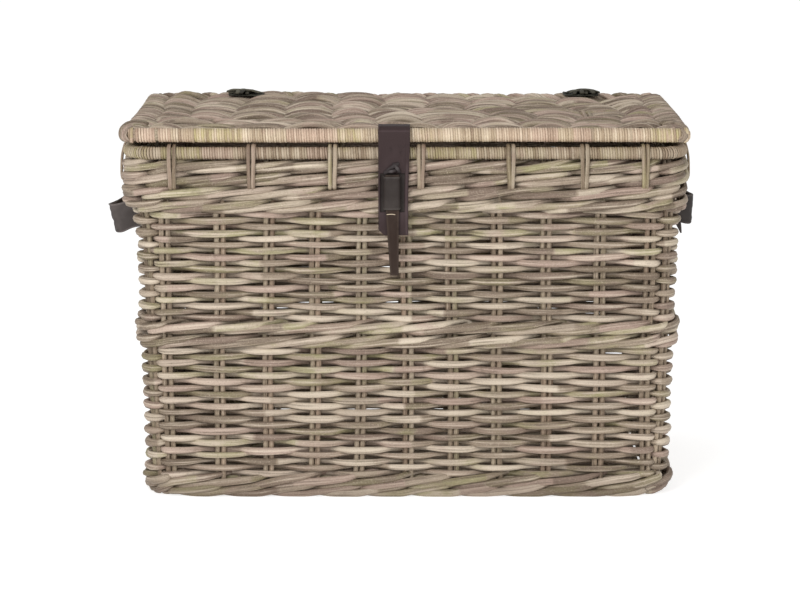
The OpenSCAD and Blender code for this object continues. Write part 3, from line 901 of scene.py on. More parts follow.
class TRUNK_OT_stage(bpy.types.Operator):
    """Sets the floor, the soft lights and the camera"""

    bl_idname = "trunk.stage"
    bl_label = "Studio"

    def execute(self, context):
        context.scene.view_settings.view_transform = "Standard"
        self.floor(context)
        self.sky(context.scene)
        self.lamp("key", (-1.4, -3.2, 2.0), 1.8, 78.0)
        self.lamp("fill", (2.4, -2.8, 1.2), 2.2, 26.0)
        self.lamp("top", (0.2, 0.4, 2.8), 1.8, 5.0)
        self.camera(context.scene)
        return {"FINISHED"}

    def floor(self, context):
        """A plain pale floor that glows a little."""
        bpy.ops.mesh.primitive_plane_add(size=30.0)
        floor = context.object
        floor.name = "floor"
        material, shader, _ = start_material("pale_floor")
        shader.inputs["Base Color"].default_value = (0.55, 0.55, 0.55, 1.0)
        shader.inputs["Roughness"].default_value = 0.9
        shader.inputs["Emission Color"].default_value = (1.0, 1.0, 1.0, 1.0)
        shader.inputs["Emission Strength"].default_value = 0.66
        floor.data.materials.append(material)

    def sky(self, scene):
        """Even white light from all round."""
        world = bpy.data.worlds.new("studio")
        scene.world = world
        world.use_nodes = True
        world.node_tree.nodes["Background"].inputs[0].default_value = (1.0, 1.0, 1.0, 1.0)
        world.node_tree.nodes["Background"].inputs[1].default_value = 0.62

    def camera(self, scene):
        """A long lens, a little above the lid."""
        camera = bpy.data.cameras.new("camera")
        camera.lens = 135.2
        camera.sensor_width = 36.0
        camera.clip_end = 60.0
        obj = bpy.data.objects.new("camera", camera)
        obj.location = (-0.0077, -4.556, 1.037)
        obj.rotation_euler = (math.radians(90.0 - 9.68), 0.0, 0.0)
        scene.collection.objects.link(obj)
        scene.camera = obj

    def lamp(self, name, place, size, watts):
        """A round soft light that looks at the trunk."""
        light = bpy.data.lights.new(name, "AREA")
        light.shape = "DISK"
        light.size = size
        light.energy = watts
        obj = bpy.data.objects.new(name, light)
        obj.location = place
        aim = np.array([0.0, 0.0, 0.3]) - np.array(place)
        flat = math.hypot(aim[0], aim[1])
        obj.rotation_euler = (math.atan2(flat, -aim[2]), 0.0, math.atan2(aim[1], aim[0]) - math.pi / 2.0)
        bpy.context.scene.collection.objects.link(obj)


class TRUNK_OT_stakes(bpy.types.Operator):
    """Stands the pairs of stakes round the base"""

    bl_idname = "trunk.stakes"
    bl_label = "Stakes"

    def execute(self, context):
        weave, _ = settings()
        rng = np.random.default_rng(weave.seed)
        material = pole_material()
        groups = (
            ("front_stakes", FRONT_PAIRS),
            ("right_stakes", RIGHT_PAIRS),
            ("back_stakes", BACK_PAIRS),
            ("left_stakes", LEFT_PAIRS),
        )
        for name, pairs in groups:
            pile = Pile()
            arc = doubled(PAIR_ARC[pairs])
            n = 34
            count = len(arc)
            z = np.broadcast_to(np.linspace(0.012, 0.500, n), (count, n))
            sway = wander(rng, count // 2, n, 10, 0.0016, False)
            sway = np.concatenate([sway, sway]) + wander(rng, count, n, 6, 0.0004, False)
            drift = pair_drift(np.concatenate([pairs, pairs])[:, None], z)
            out = wander(rng, count, n, 6, 0.0004, False)
            path, outward = wall_point(arc[:, None] + sway + drift, z, out)
            stray = rng.normal(0.0, 0.04, (count, 1)) + wander(rng, count, n, 5, 0.03, False)
            radius = weave.stake / 2.0 * (1.0 + stray)
            tone = piece_tones(rng, count, n, pieces=2, spread=0.9)
            sweep(pile, path, outward, radius, radius, tone, sides=10)
            make_object(name + "_rattan", pile, material, "trunk", [name])
        return {"FINISHED"}


class TRUNK_OT_walls(bpy.types.Operator):
    """Weaves the two plain bands of the walls"""

    bl_idname = "trunk.walls"
    bl_label = "Plain weave"

    def execute(self, context):
        weave, _ = settings()
        material = wicker_material()
        first = 0
        for name, (low, high) in (("lower_weave", LOWER), ("upper_weave", UPPER)):
            rng = np.random.default_rng(weave.seed + len(name) + first)
            rows = round((high[2] - low[2]) / weave.row)
            pile = Pile()
            weave_rows(pile, rng, low[2], high[2], rows, weave.strand, weave.stake, first)
            make_object(name + "_strands", pile, material, "trunk", [name])
            first += rows
        return {"FINISHED"}


class TRUNK_OT_wales(bpy.types.Operator):
    """Weaves the slanting wales: round the middle, under the rim, and along the foot"""

    bl_idname = "trunk.wales"
    bl_label = "Wales"

    def execute(self, context):
        weave, _ = settings()
        material = wicker_material()
        wale = weave.wale_strand
        # Each band's node, lowest and highest place, rounds, reach past the stakes, strand, climb and tone; a
        # darker tone is painted shade, on the top wale that stands out into the light and on the foot
        bands = (
            ("mid_wale", MID_WALE[0][2] - 0.001, MID_WALE[1][2] + 0.001, 2, 0.0042, wale, 0.019, 0.0),
            ("top_wale", TOP_WALE[0][2], TOP_WALE[1][2], 4, 0.0066, wale, 0.020, -0.20),
            ("foot_border", 0.0005, FOOT[1][2], 2, 0.0036, wale * 1.06, 0.027, -0.06),
        )
        for index, (name, low, high, rounds, out, strand, rise, light) in enumerate(bands):
            rng = np.random.default_rng(weave.seed * 31 + index)
            pile = Pile()
            tall = (high - low) / rounds
            for k in range(rounds):
                start = rng.random() * 3.0
                wale_round(pile, rng, low + tall * (k + 0.5), strand, weave.stake, rise, out, start, light)
            backing(pile, rng, max(low - 0.006, 0.012), high + 0.008, 0.0092, weave.stake)
            make_object(name + "_strands", pile, material, "trunk", [name])
        return {"FINISHED"}


class TRUNK_OT_floor(bpy.types.Operator):
    """Weaves the floor on its sticks"""

    bl_idname = "trunk.floor"
    bl_label = "Floor"

    def execute(self, context):
        weave, _ = settings()
        rng = np.random.default_rng(weave.seed + 5)
        level = mid(FLOOR_WEAVE, 2)
        half_x = FLOOR_WEAVE[1][0]
        half_y = FLOOR_WEAVE[1][1]
        places = centred(LONG_PAIRS, STICK_PITCH)
        pile = Pile()
        x = doubled(places)
        y = np.linspace(-half_y + 0.002, half_y - 0.002, 12)
        path = np.stack(np.broadcast_arrays(x[:, None], y[None], np.array([[level]])), -1)
        up = np.broadcast_to(UP, path.shape)
        radius = np.full(path.shape[:2], 0.0031)
        sweep(pile, path, up, radius, radius, piece_tones(rng, len(x), 12, pieces=2))
        make_object("base_sticks_rattan", pile, pole_material(), "trunk", ["base_sticks"])
        pile = Pile()
        path, outward = ring_line(level, out=-0.013, count=400)
        pole(pile, rng, path, outward, radius=0.0060, closed=True)
        make_object("base_frame_pole", pile, pole_material(), "trunk", ["base_frame"])
        pile = Pile()
        rows = np.arange(-half_y + 0.006, half_y - 0.003, 0.0088)
        knots = np.concatenate([[-half_x + 0.001], places, [half_x - 0.001]])
        flat_rows(pile, rng, knots, rows, level, strand=0.0076, swing=0.0062)
        make_object("base_weave_strands", pile, wicker_material(), "trunk", ["base_weave"])
        return {"FINISHED"}


def ring_line(level, out, count, start=START):
    """A line round the wall at one height, as evenly spaced points, and its outward normals. It starts at a
    place counted in pairs."""
    arc = arc_of(np.array([start])) + np.arange(count) * ROUND / count
    path, outward = wall_point(arc, np.full(count, level), np.full(count, out))
    path = path - outward * flare(path[:, 2])[:, None]
    return path, outward


class TRUNK_OT_rim(bpy.types.Operator):
    """Binds the rim with cane and lashes it to the wall"""

    bl_idname = "trunk.rim"
    bl_label = "Rim"

    def execute(self, context):
        weave, _ = settings()
        rng = np.random.default_rng(weave.seed + 9)
        level = mid(RIM_POLE, 2)
        pile = Pile()
        path, outward = ring_line(level, out=0.0152, count=700)
        pole(pile, rng, path, outward, radius=0.0080, sides=14, closed=True)
        make_object("rim_outer_pole_bare", pile, pole_material(), "trunk", ["rim_outer_pole"])
        pile = Pile()
        line = np.concatenate([path, path[:1]])
        up = np.concatenate([outward, outward[:1]])
        binding(pile, rng, line, up, core=0.0083, cane=weave.cane, olive=self.sleeve)
        # The rim's cane is the same cane painted darker: painted shade.
        material = cane_material("painted_shade_rim_cane", shade=0.70)
        make_object("rim_binding_cane", pile, material, "trunk", ["rim_binding"])
        pile = Pile()
        path, outward = ring_line(mid(INNER_POLE, 2), out=-0.011, count=500)
        pole(pile, rng, path, outward, radius=0.0060, closed=True)
        make_object("rim_inner_pole_bare", pile, pole_material(), "trunk", ["rim_inner_pole"])
        pile = Pile()
        self.lash(pile, rng)
        # The lashings' cane is the same cane painted darker still: painted shade.
        material = cane_material("lashing_cane", shade=0.60)
        make_object("rim_lashings_cane", pile, material, "trunk", ["rim_lashings"])
        return {"FINISHED"}

    def sleeve(self, centre):
        """The rim is yellow-green at its front left corner, where a new length of cane starts."""
        return smooth(-0.368, -0.376, centre[:, 0]) * smooth(-0.170, -0.190, centre[:, 1])

    def lash(self, pile, rng):
        """Doubled lashings: one loop round both poles and the top of the wall, carried to every place."""
        # The loop's section in millimetres: how far out from the stakes' line, and how high
        loop = [
            (27.5, 463.0), (30.6, 469.0), (30.6, 484.0), (29.5, 499.0), (26.9, 511.5), (23.6, 519.0),
            (16.5, 522.4), (7.0, 522.6), (-4.0, 520.0), (-13.0, 517.6), (-18.6, 510.0), (-17.5, 498.0),
            (-15.5, 480.0), (-13.0, 468.0), (-6.0, 460.5), (5.0, 458.5), (18.0, 459.0),
        ]
        loop = smooth_path(np.array(loop) * 0.001, 56, True)
        up = unit(loop - np.array([[0.006, 0.492]]))
        # Where the lashings stand along each wall
        front = np.array([-337.0, -223.0, -105.0, 23.0, 152.0, 259.0, 347.0]) * 0.001
        back = np.array([-345.0, -190.0, -100.0, 0.0, 100.0, 190.0, 345.0]) * 0.001
        ends = np.array([-165.0, -55.0, 55.0, 165.0]) * 0.001
        cx = HALF_X + LEAN_X * 0.5
        cy = HALF_Y + LEAN_Y * 0.5
        paths = []
        ups = []
        walls = (front, 0, -1, cy), (back, 0, 1, cy), (ends, 1, -1, cx), (ends, 1, 1, cx)
        for places, axis, sign, wall in walls:
            for place in places:
                for side in (-1.0, 1.0):
                    lean = side * (0.0036 - 0.0022 * smooth(0.505, 0.466, loop[:, 1]) * rng.random())
                    out = sign * (wall + loop[:, 0])
                    along = place + lean + rng.normal(0.0, 0.0003)
                    flat = [along, out] if axis == 0 else [out, along]
                    paths.append(np.stack(flat + [loop[:, 1]], -1))
                    zero = 0.0 * up[:, 0]
                    flat = [zero, sign * up[:, 0]] if axis == 0 else [sign * up[:, 0], zero]
                    ups.append(np.stack(flat + [up[:, 1]], -1))
        path = np.stack(paths)
        count, n, _ = path.shape
        wide = 0.0029 * (1.0 + wander(rng, count, n, 9, 0.07))
        tone = piece_tones(rng, count, n, pieces=2)
        sweep(pile, path, np.stack(ups), wide, wide * 0.60, tone, closed=True)


def lid_sag(x, y):
    """How far the lid has sunk: a shallow bowl, nothing at its edges."""
    return 0.0030 * np.clip(1.0 - (x / 0.38) ** 2, 0.0, 1.0) * np.clip(1.0 - (y / 0.22) ** 2, 0.0, 1.0)


class TRUNK_OT_lid(bpy.types.Operator):
    """Weaves the lid on its ribs and binds its front pole"""

    bl_idname = "trunk.lid"
    bl_label = "Lid"

    def execute(self, context):
        weave, _ = settings()
        rng = np.random.default_rng(weave.seed + 17)
        level = mid(LID_BACK, 2)
        front = mid(LID_BINDING, 1)
        back = mid(LID_BACK, 1)
        side = (LID_SIDES[1][0] + LID_SIDES[0][0]) / 2.0 + LID_SIDES[1][0] - 0.007
        self.front(weave, rng, level, front)
        ribs = centred(LONG_PAIRS, LONG_PITCH)
        x = doubled(ribs)
        y = np.linspace(front + 0.014, back - 0.010, 24)
        path = np.stack(np.broadcast_arrays(x[:, None], y[None], level - lid_sag(x[:, None], y[None])), -1)
        up = np.broadcast_to(UP, path.shape)
        radius = np.full(path.shape[:2], 0.0034)
        pile = Pile()
        sweep(pile, path, up, radius, radius, piece_tones(rng, len(x), 24, pieces=2))
        make_object("lid_ribs_rattan", pile, pole_material(), "lid", ["lid_ribs"])
        pile = Pile()
        for sign in (-1.0, 1.0):
            line = np.stack(np.broadcast_arrays(sign * side, np.linspace(front + 0.014, back, 40), level), -1)
            pole(pile, rng, line, UP, radius=0.0055)
        make_object("lid_side_poles_bare", pile, pole_material(), "lid", ["lid_side_poles"])
        pile = Pile()
        line = np.stack(np.broadcast_arrays(np.linspace(-side, side, 80), back, level), -1)
        pole(pile, rng, line, UP, radius=0.0055)
        make_object("lid_back_pole_bare", pile, pole_material(), "lid", ["lid_back_pole"])
        pile = Pile()
        knots = np.concatenate([[-side], ribs, [side]])
        rows = np.arange(front + 0.0145, back - 0.005, 0.0088)
        flat_rows(
            pile, rng, knots, rows, level + 0.0012, strand=0.0092, swing=0.0064, ends=0.0112,
            shape=self.worn_shape, drift=0.30
        )
        self.corners(pile, rng, level, front, side)
        self.border(pile, rng, level, back, side)
        make_object("lid_weave_strands", pile, wicker_material(), "lid", ["lid_weave"])
        return {"FINISHED"}

    def worn_shape(self, path):
        """The weave sinks in the middle, its left side bows inward and its right side outward."""
        x, y, z = path[..., 0], path[..., 1], path[..., 2]
        t = (y + 0.24) / 0.48
        bow = np.where(x > 0.0, 0.0016, -0.0024) * np.sin(np.pi * np.clip(t, 0.0, 1.0))
        bow = bow + 0.0010 * smooth(0.86, 1.0, t)
        high = 0.0010 * smooth(0.05, 0.20, t) * smooth(1.0, 0.85, t) * smooth(0.33, 0.39, np.abs(x))
        side = np.sign(x) * smooth(0.345, 0.395, np.abs(x))
        return np.stack([x + bow * side, y, z - lid_sag(x, y) + high], -1)

    def front(self, weave, rng, level, front):
        """The pole along the lid's front edge, wound with cane, with a slit near its left end."""
        low = LID_BINDING[0][0] + 0.016
        high = LID_BINDING[1][0] - 0.007
        x = np.linspace(low, high, 400)
        dip = 0.0006 * np.sin(x * 9.0)
        line = np.stack([x, np.full_like(x, front), level + dip], -1)
        up = np.broadcast_to(UP, line.shape)
        pile = Pile()
        slit = low + 0.0365
        pole(pile, rng, line, UP, radius=0.0066)
        pole(pile, rng, line[x < slit - 0.0018], UP, radius=0.0092, sides=14)
        pole(pile, rng, line[x > slit + 0.0018], UP, radius=0.0092, sides=14)
        make_object("lid_front_pole_bare", pile, pole_material(), "lid", ["lid_front_pole"])
        pile = Pile()
        inner = line[(x > slit + 0.0010) & (x < high - 0.002)]
        binding(pile, rng, inner, up[: len(inner)], core=0.0094, cane=weave.cane, olive=self.end_olive)
        inner = line[(x > low + 0.004) & (x < slit - 0.0010)]
        binding(pile, rng, inner, up[: len(inner)], core=0.0097, cane=weave.cane)
        for end in (low, high):
            for k in range(4):
                angle = np.linspace(0.0, 2.0 * math.pi, 40, endpoint=False)
                size = 0.0102 - 0.0006 * k * k
                shift = (0.0006 + 0.0022 * k) * (-1.0 if end < 0.0 else 1.0)
                y = front + size * np.cos(angle)
                ring = np.stack([end + shift + 0.0 * angle, y, level + size * np.sin(angle)], -1)
                away = unit(ring - np.array([end - shift * 2.0, front, level]))
                wide = np.full((1, 40), 0.0019)
                tone = piece_tones(rng, 1, 40, pieces=2)
                sweep(pile, ring[None], away[None], wide, wide * 0.7, tone, closed=True)
        make_object("lid_front_binding_cane", pile, cane_material(), "lid", ["lid_front_binding"])

    def end_olive(self, centre):
        """The front binding turns yellow-green towards its right end."""
        return smooth(0.335, 0.365, centre[:, 0])

    def corners(self, pile, rng, level, front, side):
        """Strands that come forward over the lid's front corners, round the pole's ends and in under it."""
        # How far past the side pole, behind the front pole and above both the strand runs
        route = np.array([
            (-0.022, 0.058, 0.0085), (-0.008, 0.042, 0.0112), (0.002, 0.029, 0.0108), (0.009, 0.018, 0.0062),
            (0.0116, 0.010, -0.0010), (0.0092, 0.009, -0.0080), (0.003, 0.014, -0.0112),
        ])
        centre = np.array([-0.003, 0.0, 0.0])
        for sign, past, fat in ((-1.0, 0.0040, 0.0036), (1.0, 0.0014, 0.0044)):
            for k in range(5):
                size = np.array([1.0 - 0.13 * k, 1.0, 1.0 - 0.09 * k])
                points = centre + (route - centre) * size + np.array([0.0, -0.0052 * k, 0.0])
                points = points + rng.normal(0.0, 0.0007, route.shape)
                x = sign * (side + points[:, 0] + past)
                path = smooth_path(np.stack([x, front + points[:, 1], level + points[:, 2] + 0.0020], -1), 34)
                axis = np.stack([np.full(34, sign * (side - 0.003)), path[:, 1], np.full(34, level)], -1)
                radius = fat * (1.0 + wander(rng, 1, 34, 9, 0.06, False))
                # The rolls' tones are darker: partly their own greyer colour, partly painted shade where they
                # turn under the pole's ends.
                tone = piece_tones(rng, 1, 34, pieces=2, spread=0.8, light=-0.30, hue=-0.15)
                sweep(pile, path[None], unit(path - axis)[None], radius, radius * 0.85, tone)

    def border(self, pile, rng, level, back, side):
        """The back edge: three strands twisted round the pole, each a helix with the same long pitch."""
        n = 420
        x = np.linspace(-side + 0.004, side - 0.004, n)
        lift = 0.0022 * smooth(-0.12, -0.25, x) * smooth(-0.39, -0.33, x)
        lift = lift + wander(rng, 1, n, 60, 0.0010, False)[0]
        for k in range(3):
            angle = x / 0.070 * 2.0 * math.pi + k * 2.0 * math.pi / 3.0 + wander(rng, 1, n, 30, 0.3, False)[0]
            size = 0.0078 + wander(rng, 1, n, 20, 0.0006, False)[0]
            middle = level + 0.0012 + lift
            path = np.stack([x, back + size * np.cos(angle), middle + size * 0.9 * np.sin(angle)], -1)
            up = np.stack([0.0 * x, np.cos(angle), np.sin(angle)], -1)
            radius = 0.0049 * (1.0 + wander(rng, 1, n, 14, 0.05, False))
            tone = piece_tones(rng, 1, n, pieces=8)
            sweep(pile, path[None], up[None], radius * 1.1, radius * 0.85, tone)


class TRUNK_OT_hinges(bpy.types.Operator):
    """Hangs the lid on two laced leather straps"""

    bl_idname = "trunk.hinges"
    bl_label = "Hinge straps"

    def execute(self, context):
        _, colours = settings()
        material = once(leather, "waxed_hinge_leather", tuple(colours.hinge), (0.060, 0.058, 0.044), 0.50)
        rng = np.random.default_rng(23)
        for side in ("left", "right"):
            low, high = low_high(side + "_hinge_body_leaf")
            top = low_high(side + "_hinge_lid_leaf")
            x = (low[0] + high[0]) / 2.0
            width = high[0] - low[0]
            skin = 0.0028
            face = (low[1] + high[1]) / 2.0
            crown = top[1][2] - 0.0015
            edge = top[1][1] - 0.0015
            points = [
                (x, face, low[2]), (x, face + 0.0004, low[2] + 0.040), (x, face, 0.500),
                (x, face - 0.0012, 0.514), (x, edge + 0.0012, 0.524), (x, edge, 0.534),
                (x, edge - 0.0008, 0.543), (x, edge - 0.0050, crown - 0.0008), (x, edge - 0.012, crown),
                (x, edge - 0.030, crown), (x, top[0][1] + 0.001, crown - 0.0004),
            ]
            pile = Pile()
            widths = [width * w for w in (0.90, 1.0, 0.99, 0.97, 0.98, 1.0, 1.0, 0.94)]
            strap(pile, rng, points, (-1.0, 0.0, 0.0), widths, skin, rows=60, inner=7, sway=0.0003)
            start = (x, 0.2525, 0.5150)
            end = (x, 0.2525, 0.5300)
            nodes = [side + "_hinge_body_leaf", side + "_hinge_lid_leaf"]
            bodies = ("trunk", "lid", start, end)
            make_object(side + "_hinge_strap", pile, material, bodies, nodes)
        thong = once(leather, "dark_thong", (0.022, 0.020, 0.015), (0.150, 0.142, 0.105), 0.46)
        for name, body in (("body_hinge_lacings", "trunk"), ("lid_hinge_lacings", "lid")):
            pile = Pile()
            low, high = low_high(name)
            for side in ("left", "right"):
                x = mid(low_high(side + "_hinge_body_leaf"), 0)
                self.crossed(pile, rng, x, low, high, body)
                if body == "lid":
                    self.bow(pile, rng, x, high, 1.0 if side == "right" else -1.0)
            make_object(name + "_thongs", pile, thong, body, [name])
        return {"FINISHED"}

    def bow(self, pile, rng, x, high, sign):
        """The loose bow on the lid: thong loops and tails that lie over the strap at all angles."""
        crown = high[2] + 0.0002
        for k in range(8):
            angle = math.pi * (0.04 + 0.27 * (k % 4)) + rng.normal(0.0, 0.16)
            size = 0.0255 - 0.0030 * (k % 3)
            t = np.linspace(-1.0, 1.0, 7)
            bend = 0.0045 * np.cos(t * 2.2) * (1.0 if k % 2 else -1.0)
            along = size * t
            px = x + sign * 0.001 * k + along * math.cos(angle) - bend * math.sin(angle)
            py = high[1] - 0.020 - 0.006 * (k > 4) + (along * math.sin(angle) + bend * math.cos(angle)) * 0.80
            pz = crown + 0.0004 * k + 0.0012 * (1.0 - t * t) - 0.0022 * t**4
            path = smooth_path(np.stack([px, py, np.minimum(pz, 0.5635)], -1), 22)[None]
            wide = np.full((1, 22), 0.0034) * (1.0 + wander(rng, 1, 22, 6, 0.12, False))
            up = np.broadcast_to(UP, path.shape)
            tone = np.zeros((1, 22, 3)) + np.array([rng.random(), rng.random(), 0.12 * (k % 2)])
            sweep(pile, path, up, wide, wide * 0.42, tone, sides=12, shape=0.7)

    def crossed(self, pile, rng, x, low, high, body):
        """Two thongs crossed over the strap, with their ends tucked through it."""
        for index, sign in enumerate((-1.0, 1.0)):
            a = np.array([-0.0145, sign * -0.0085])
            t = np.linspace(-1.0, 1.0, 9)
            lift = 0.0020 - 0.0036 * np.abs(t) ** 4 + 0.0016 * index * (1.0 - t * t)
            flat = a[None] * t[:, None]
            if body == "trunk":
                middle = (low[2] + high[2]) / 2.0
                path = np.stack([x + flat[:, 0], low[1] - 0.0008 + lift, middle + flat[:, 1]], -1)
                up = np.array([0.0, 1.0, 0.0])
            else:
                middle = (low[1] + high[1]) / 2.0
                path = np.stack([x + flat[:, 0], middle + flat[:, 1], low[2] - 0.0008 + lift], -1)
                up = UP
            path = smooth_path(path, 22)[None]
            wide = np.full((1, 22), 0.0026)
            tone = np.zeros((1, 22, 3)) + np.array([rng.random(), 0.3, 0.0])
            sweep(pile, path, np.broadcast_to(up, path.shape), wide, wide * 0.5, tone, sides=12, shape=0.6)


class TRUNK_OT_hasp(bpy.types.Operator):
    """Cuts the hasp strap, and makes its keeper, its peg and its laced knot"""

    bl_idname = "trunk.hasp"
    bl_label = "Hasp"

    def execute(self, context):
        _, colours = settings()
        rng = np.random.default_rng(41)
        dark = once(leather, "waxed_hasp_leather", tuple(colours.hasp), (0.088, 0.062, 0.066), 0.50)
        low, high = low_high("hasp_strap")
        tab = low_high("hasp_tab")
        keeper = low_high("peg_keeper")
        self.strap(rng, dark, low, high, tab, keeper)
        self.keeper(rng, keeper)
        self.peg(rng, colours)
        return {"FINISHED"}

    def strap(self, rng, material, low, high, tab, keeper):
        """The strap: a grid down its length with a slot cut out for the keeper, and one cut corner."""
        skin = 0.0035
        face = low[1] + skin / 2.0
        top = high[2] - skin / 2.0
        bend = 0.0104 - skin / 2.0
        angle = np.linspace(0.0, math.pi / 2.0, 7)[1:-1]
        points = [(face, z) for z in np.linspace(low[2], top - bend, 12)]
        points += [(face + bend * (1.0 - math.cos(a)), top - bend + bend * math.sin(a)) for a in angle]
        points += [(y, top) for y in np.linspace(face + bend, tab[1][1], 6)]
        line = smooth_path(np.array(points), 600)
        run = np.concatenate([[0.0], np.cumsum(np.linalg.norm(np.diff(line, axis=0), axis=1))])
        hole_low = keeper[0][2] - 0.001 - low[2]
        hole_high = keeper[1][2] + 0.001 - low[2]
        hole_left = -0.0360
        hole_right = -0.0015
        rows = np.concatenate([
            edge_places(0.0, hole_low, 9),
            edge_places(hole_low, hole_high, 11)[1:],
            edge_places(hole_high, run[-1], 34)[1:],
        ])
        left = low[0]
        right = high[0]
        edge = np.array([0.0, 0.0004, 0.0013])
        cols = np.concatenate([
            left + edge, hole_left - edge[1::-1], hole_left + edge[1:],
            np.linspace(hole_left, hole_right, 8)[1:-1],
            hole_right - edge[:0:-1], hole_right + edge, np.array([0.0012]), right - edge[::-1],
        ])
        y = np.interp(rows, run, line[:, 0])
        z = np.interp(rows, run, line[:, 1])
        cut = np.clip(0.008 - rows, 0.0, 0.008)
        x = right - (right - cols[None]) * (right - left - cut[:, None]) / (right - left)
        x = x + 0.0024 * smooth(0.055, 0.150, rows)[:, None] * ((cols - left) / (right - left))[None]
        grid = np.stack(np.broadcast_arrays(x, y[:, None], z[:, None]), -1)
        tangent = unit(np.gradient(np.stack([0.0 * y, y, z], -1), rows, axis=0))
        normal = np.cross(tangent, np.array([-1.0, 0.0, 0.0]))
        grid = grid[:, ::-1]
        flipped = cols[::-1]
        in_rows = (rows[:-1] >= hole_low - 1e-6) & (rows[1:] <= hole_high + 1e-6)
        in_cols = (flipped[1:] >= hole_left - 1e-6) & (flipped[:-1] <= hole_right + 1e-6)
        keep = ~(in_rows[:, None] & in_cols[None])
        outer = np.minimum(flipped - left, right - flipped)[None]
        outer = np.minimum(outer, np.minimum(rows, run[-1] - rows)[:, None])
        past_x = np.maximum(np.maximum(hole_left - flipped, flipped - hole_right), 0.0)[None]
        past_z = np.maximum(np.maximum(hole_low - rows, rows - hole_high), 0.0)[:, None]
        to_hole = np.hypot(past_x, past_z)
        near = np.minimum(outer, to_hole)
        fall = np.sqrt(1.0 - (1.0 - np.clip(near / 0.0012, 0.0, 1.0)) ** 2)
        stray = wander(rng, len(cols), len(rows), 8, 0.00022, False).T
        normals = np.broadcast_to(normal[:, None], grid.shape)
        grid = grid + normals * stray[..., None]
        fold = np.exp(-(((rows - (high[2] - low[2] - 0.0062)) / 0.0011) ** 2))[:, None]
        # Worn edges, a pale fold at the lid's edge, and a rubbed strip down the slot's right side
        wear = (1.0 - smooth(0.0, 0.003, outer)) * 0.35
        strip = (smooth(-0.0012, 0.0004, flipped) * smooth(0.0040, 0.0026, flipped))[None] * 0.62
        line_tone = np.maximum(fold * 0.75, strip * 0.55 * smooth(0.112, 0.100, rows)[:, None])
        tone = np.stack([0.5 + 0.0 * near, wear + 0.0 * near, line_tone + 0.0 * near], -1)
        pile = Pile()
        slab(pile, grid, normals, skin * (0.45 + 0.55 * fall), tone, keep)
        turn = (-0.0173, -0.2507, 0.5415)
        start = (turn[0], turn[1] + 0.0035, turn[2] + 0.0035)
        end = (turn[0], turn[1] - 0.0045, turn[2] - 0.0045)
        make_object("hasp_strap_leather", pile, material, ("lid", "hasp", start, end),
                    ["hasp_strap", "hasp_tab"])

    def keeper(self, rng, box):
        """The keeper: a plate on the wall and a bridge bowed out from it, round which the leather runs."""
        material = once(leather, "keeper_leather", (0.025, 0.019, 0.017), (0.072, 0.062, 0.056), 0.50)
        low, high = box
        middle = (low[0] + high[0]) / 2.0 - 0.0008
        half = 0.0112
        rise = low[1] + 0.0014
        foot = -0.2575
        centre = np.array([middle, 0.0, (low[2] + high[2]) / 2.0])
        tall = high[2] - low[2]
        pile = Pile()
        bridge = np.array([
            (-half, foot + 0.001, 0.0), (-half, foot - 0.004, 0.0), (-half + 0.0014, rise + 0.0016, 0.0),
            (-half + 0.0050, rise + 0.0001, 0.0), (0.0, rise - 0.0002, 0.0),
        ])
        bridge = np.concatenate([bridge, bridge[-2::-1] * np.array([-1.0, 1.0, 1.0])])
        width = tall - 0.006
        strap(pile, rng, centre + bridge, UP, [width, width], thick=0.0027, rows=30, inner=9, sway=0.0002)
        plate = np.array([(x, foot + 0.0014, 0.0) for x in (-0.0195, 0.0, 0.0195)])
        width = tall + 0.006
        strap(pile, rng, centre + plate, UP, [width, width], thick=0.0026, rows=12, sway=0.0001)
        make_object("peg_keeper_leather", pile, material, "trunk", ["peg_keeper"])

    def peg(self, rng, colours):
        """The peg: a thick tapered tongue of leather, with a laced knot on its head."""
        base = tuple(c * s for c, s in zip(colours.hasp, (0.68, 0.61, 0.43)))
        material = once(leather, "peg_leather", base, (0.052, 0.036, 0.028), 0.48)
        low, high = low_high("peg")
        y = (low[1] + high[1]) / 2.0
        pile = Pile()
        foot = (-0.0156, y, low[2] - 0.0004)
        points = [foot, (-0.0172, y, 0.380), (-0.0185, y, 0.425), (-0.0188, y, high[2] - 0.0005)]
        widths = [0.0122, 0.0144, 0.0164, 0.0188, 0.0197, 0.0200]
        strap(pile, rng, points, (-1.0, 0.0, 0.0), widths, thick=0.0043, rows=40, inner=7, sway=0.0002)
        make_object("peg_tongue", pile, material, "peg", ["peg"])
        pile = Pile()
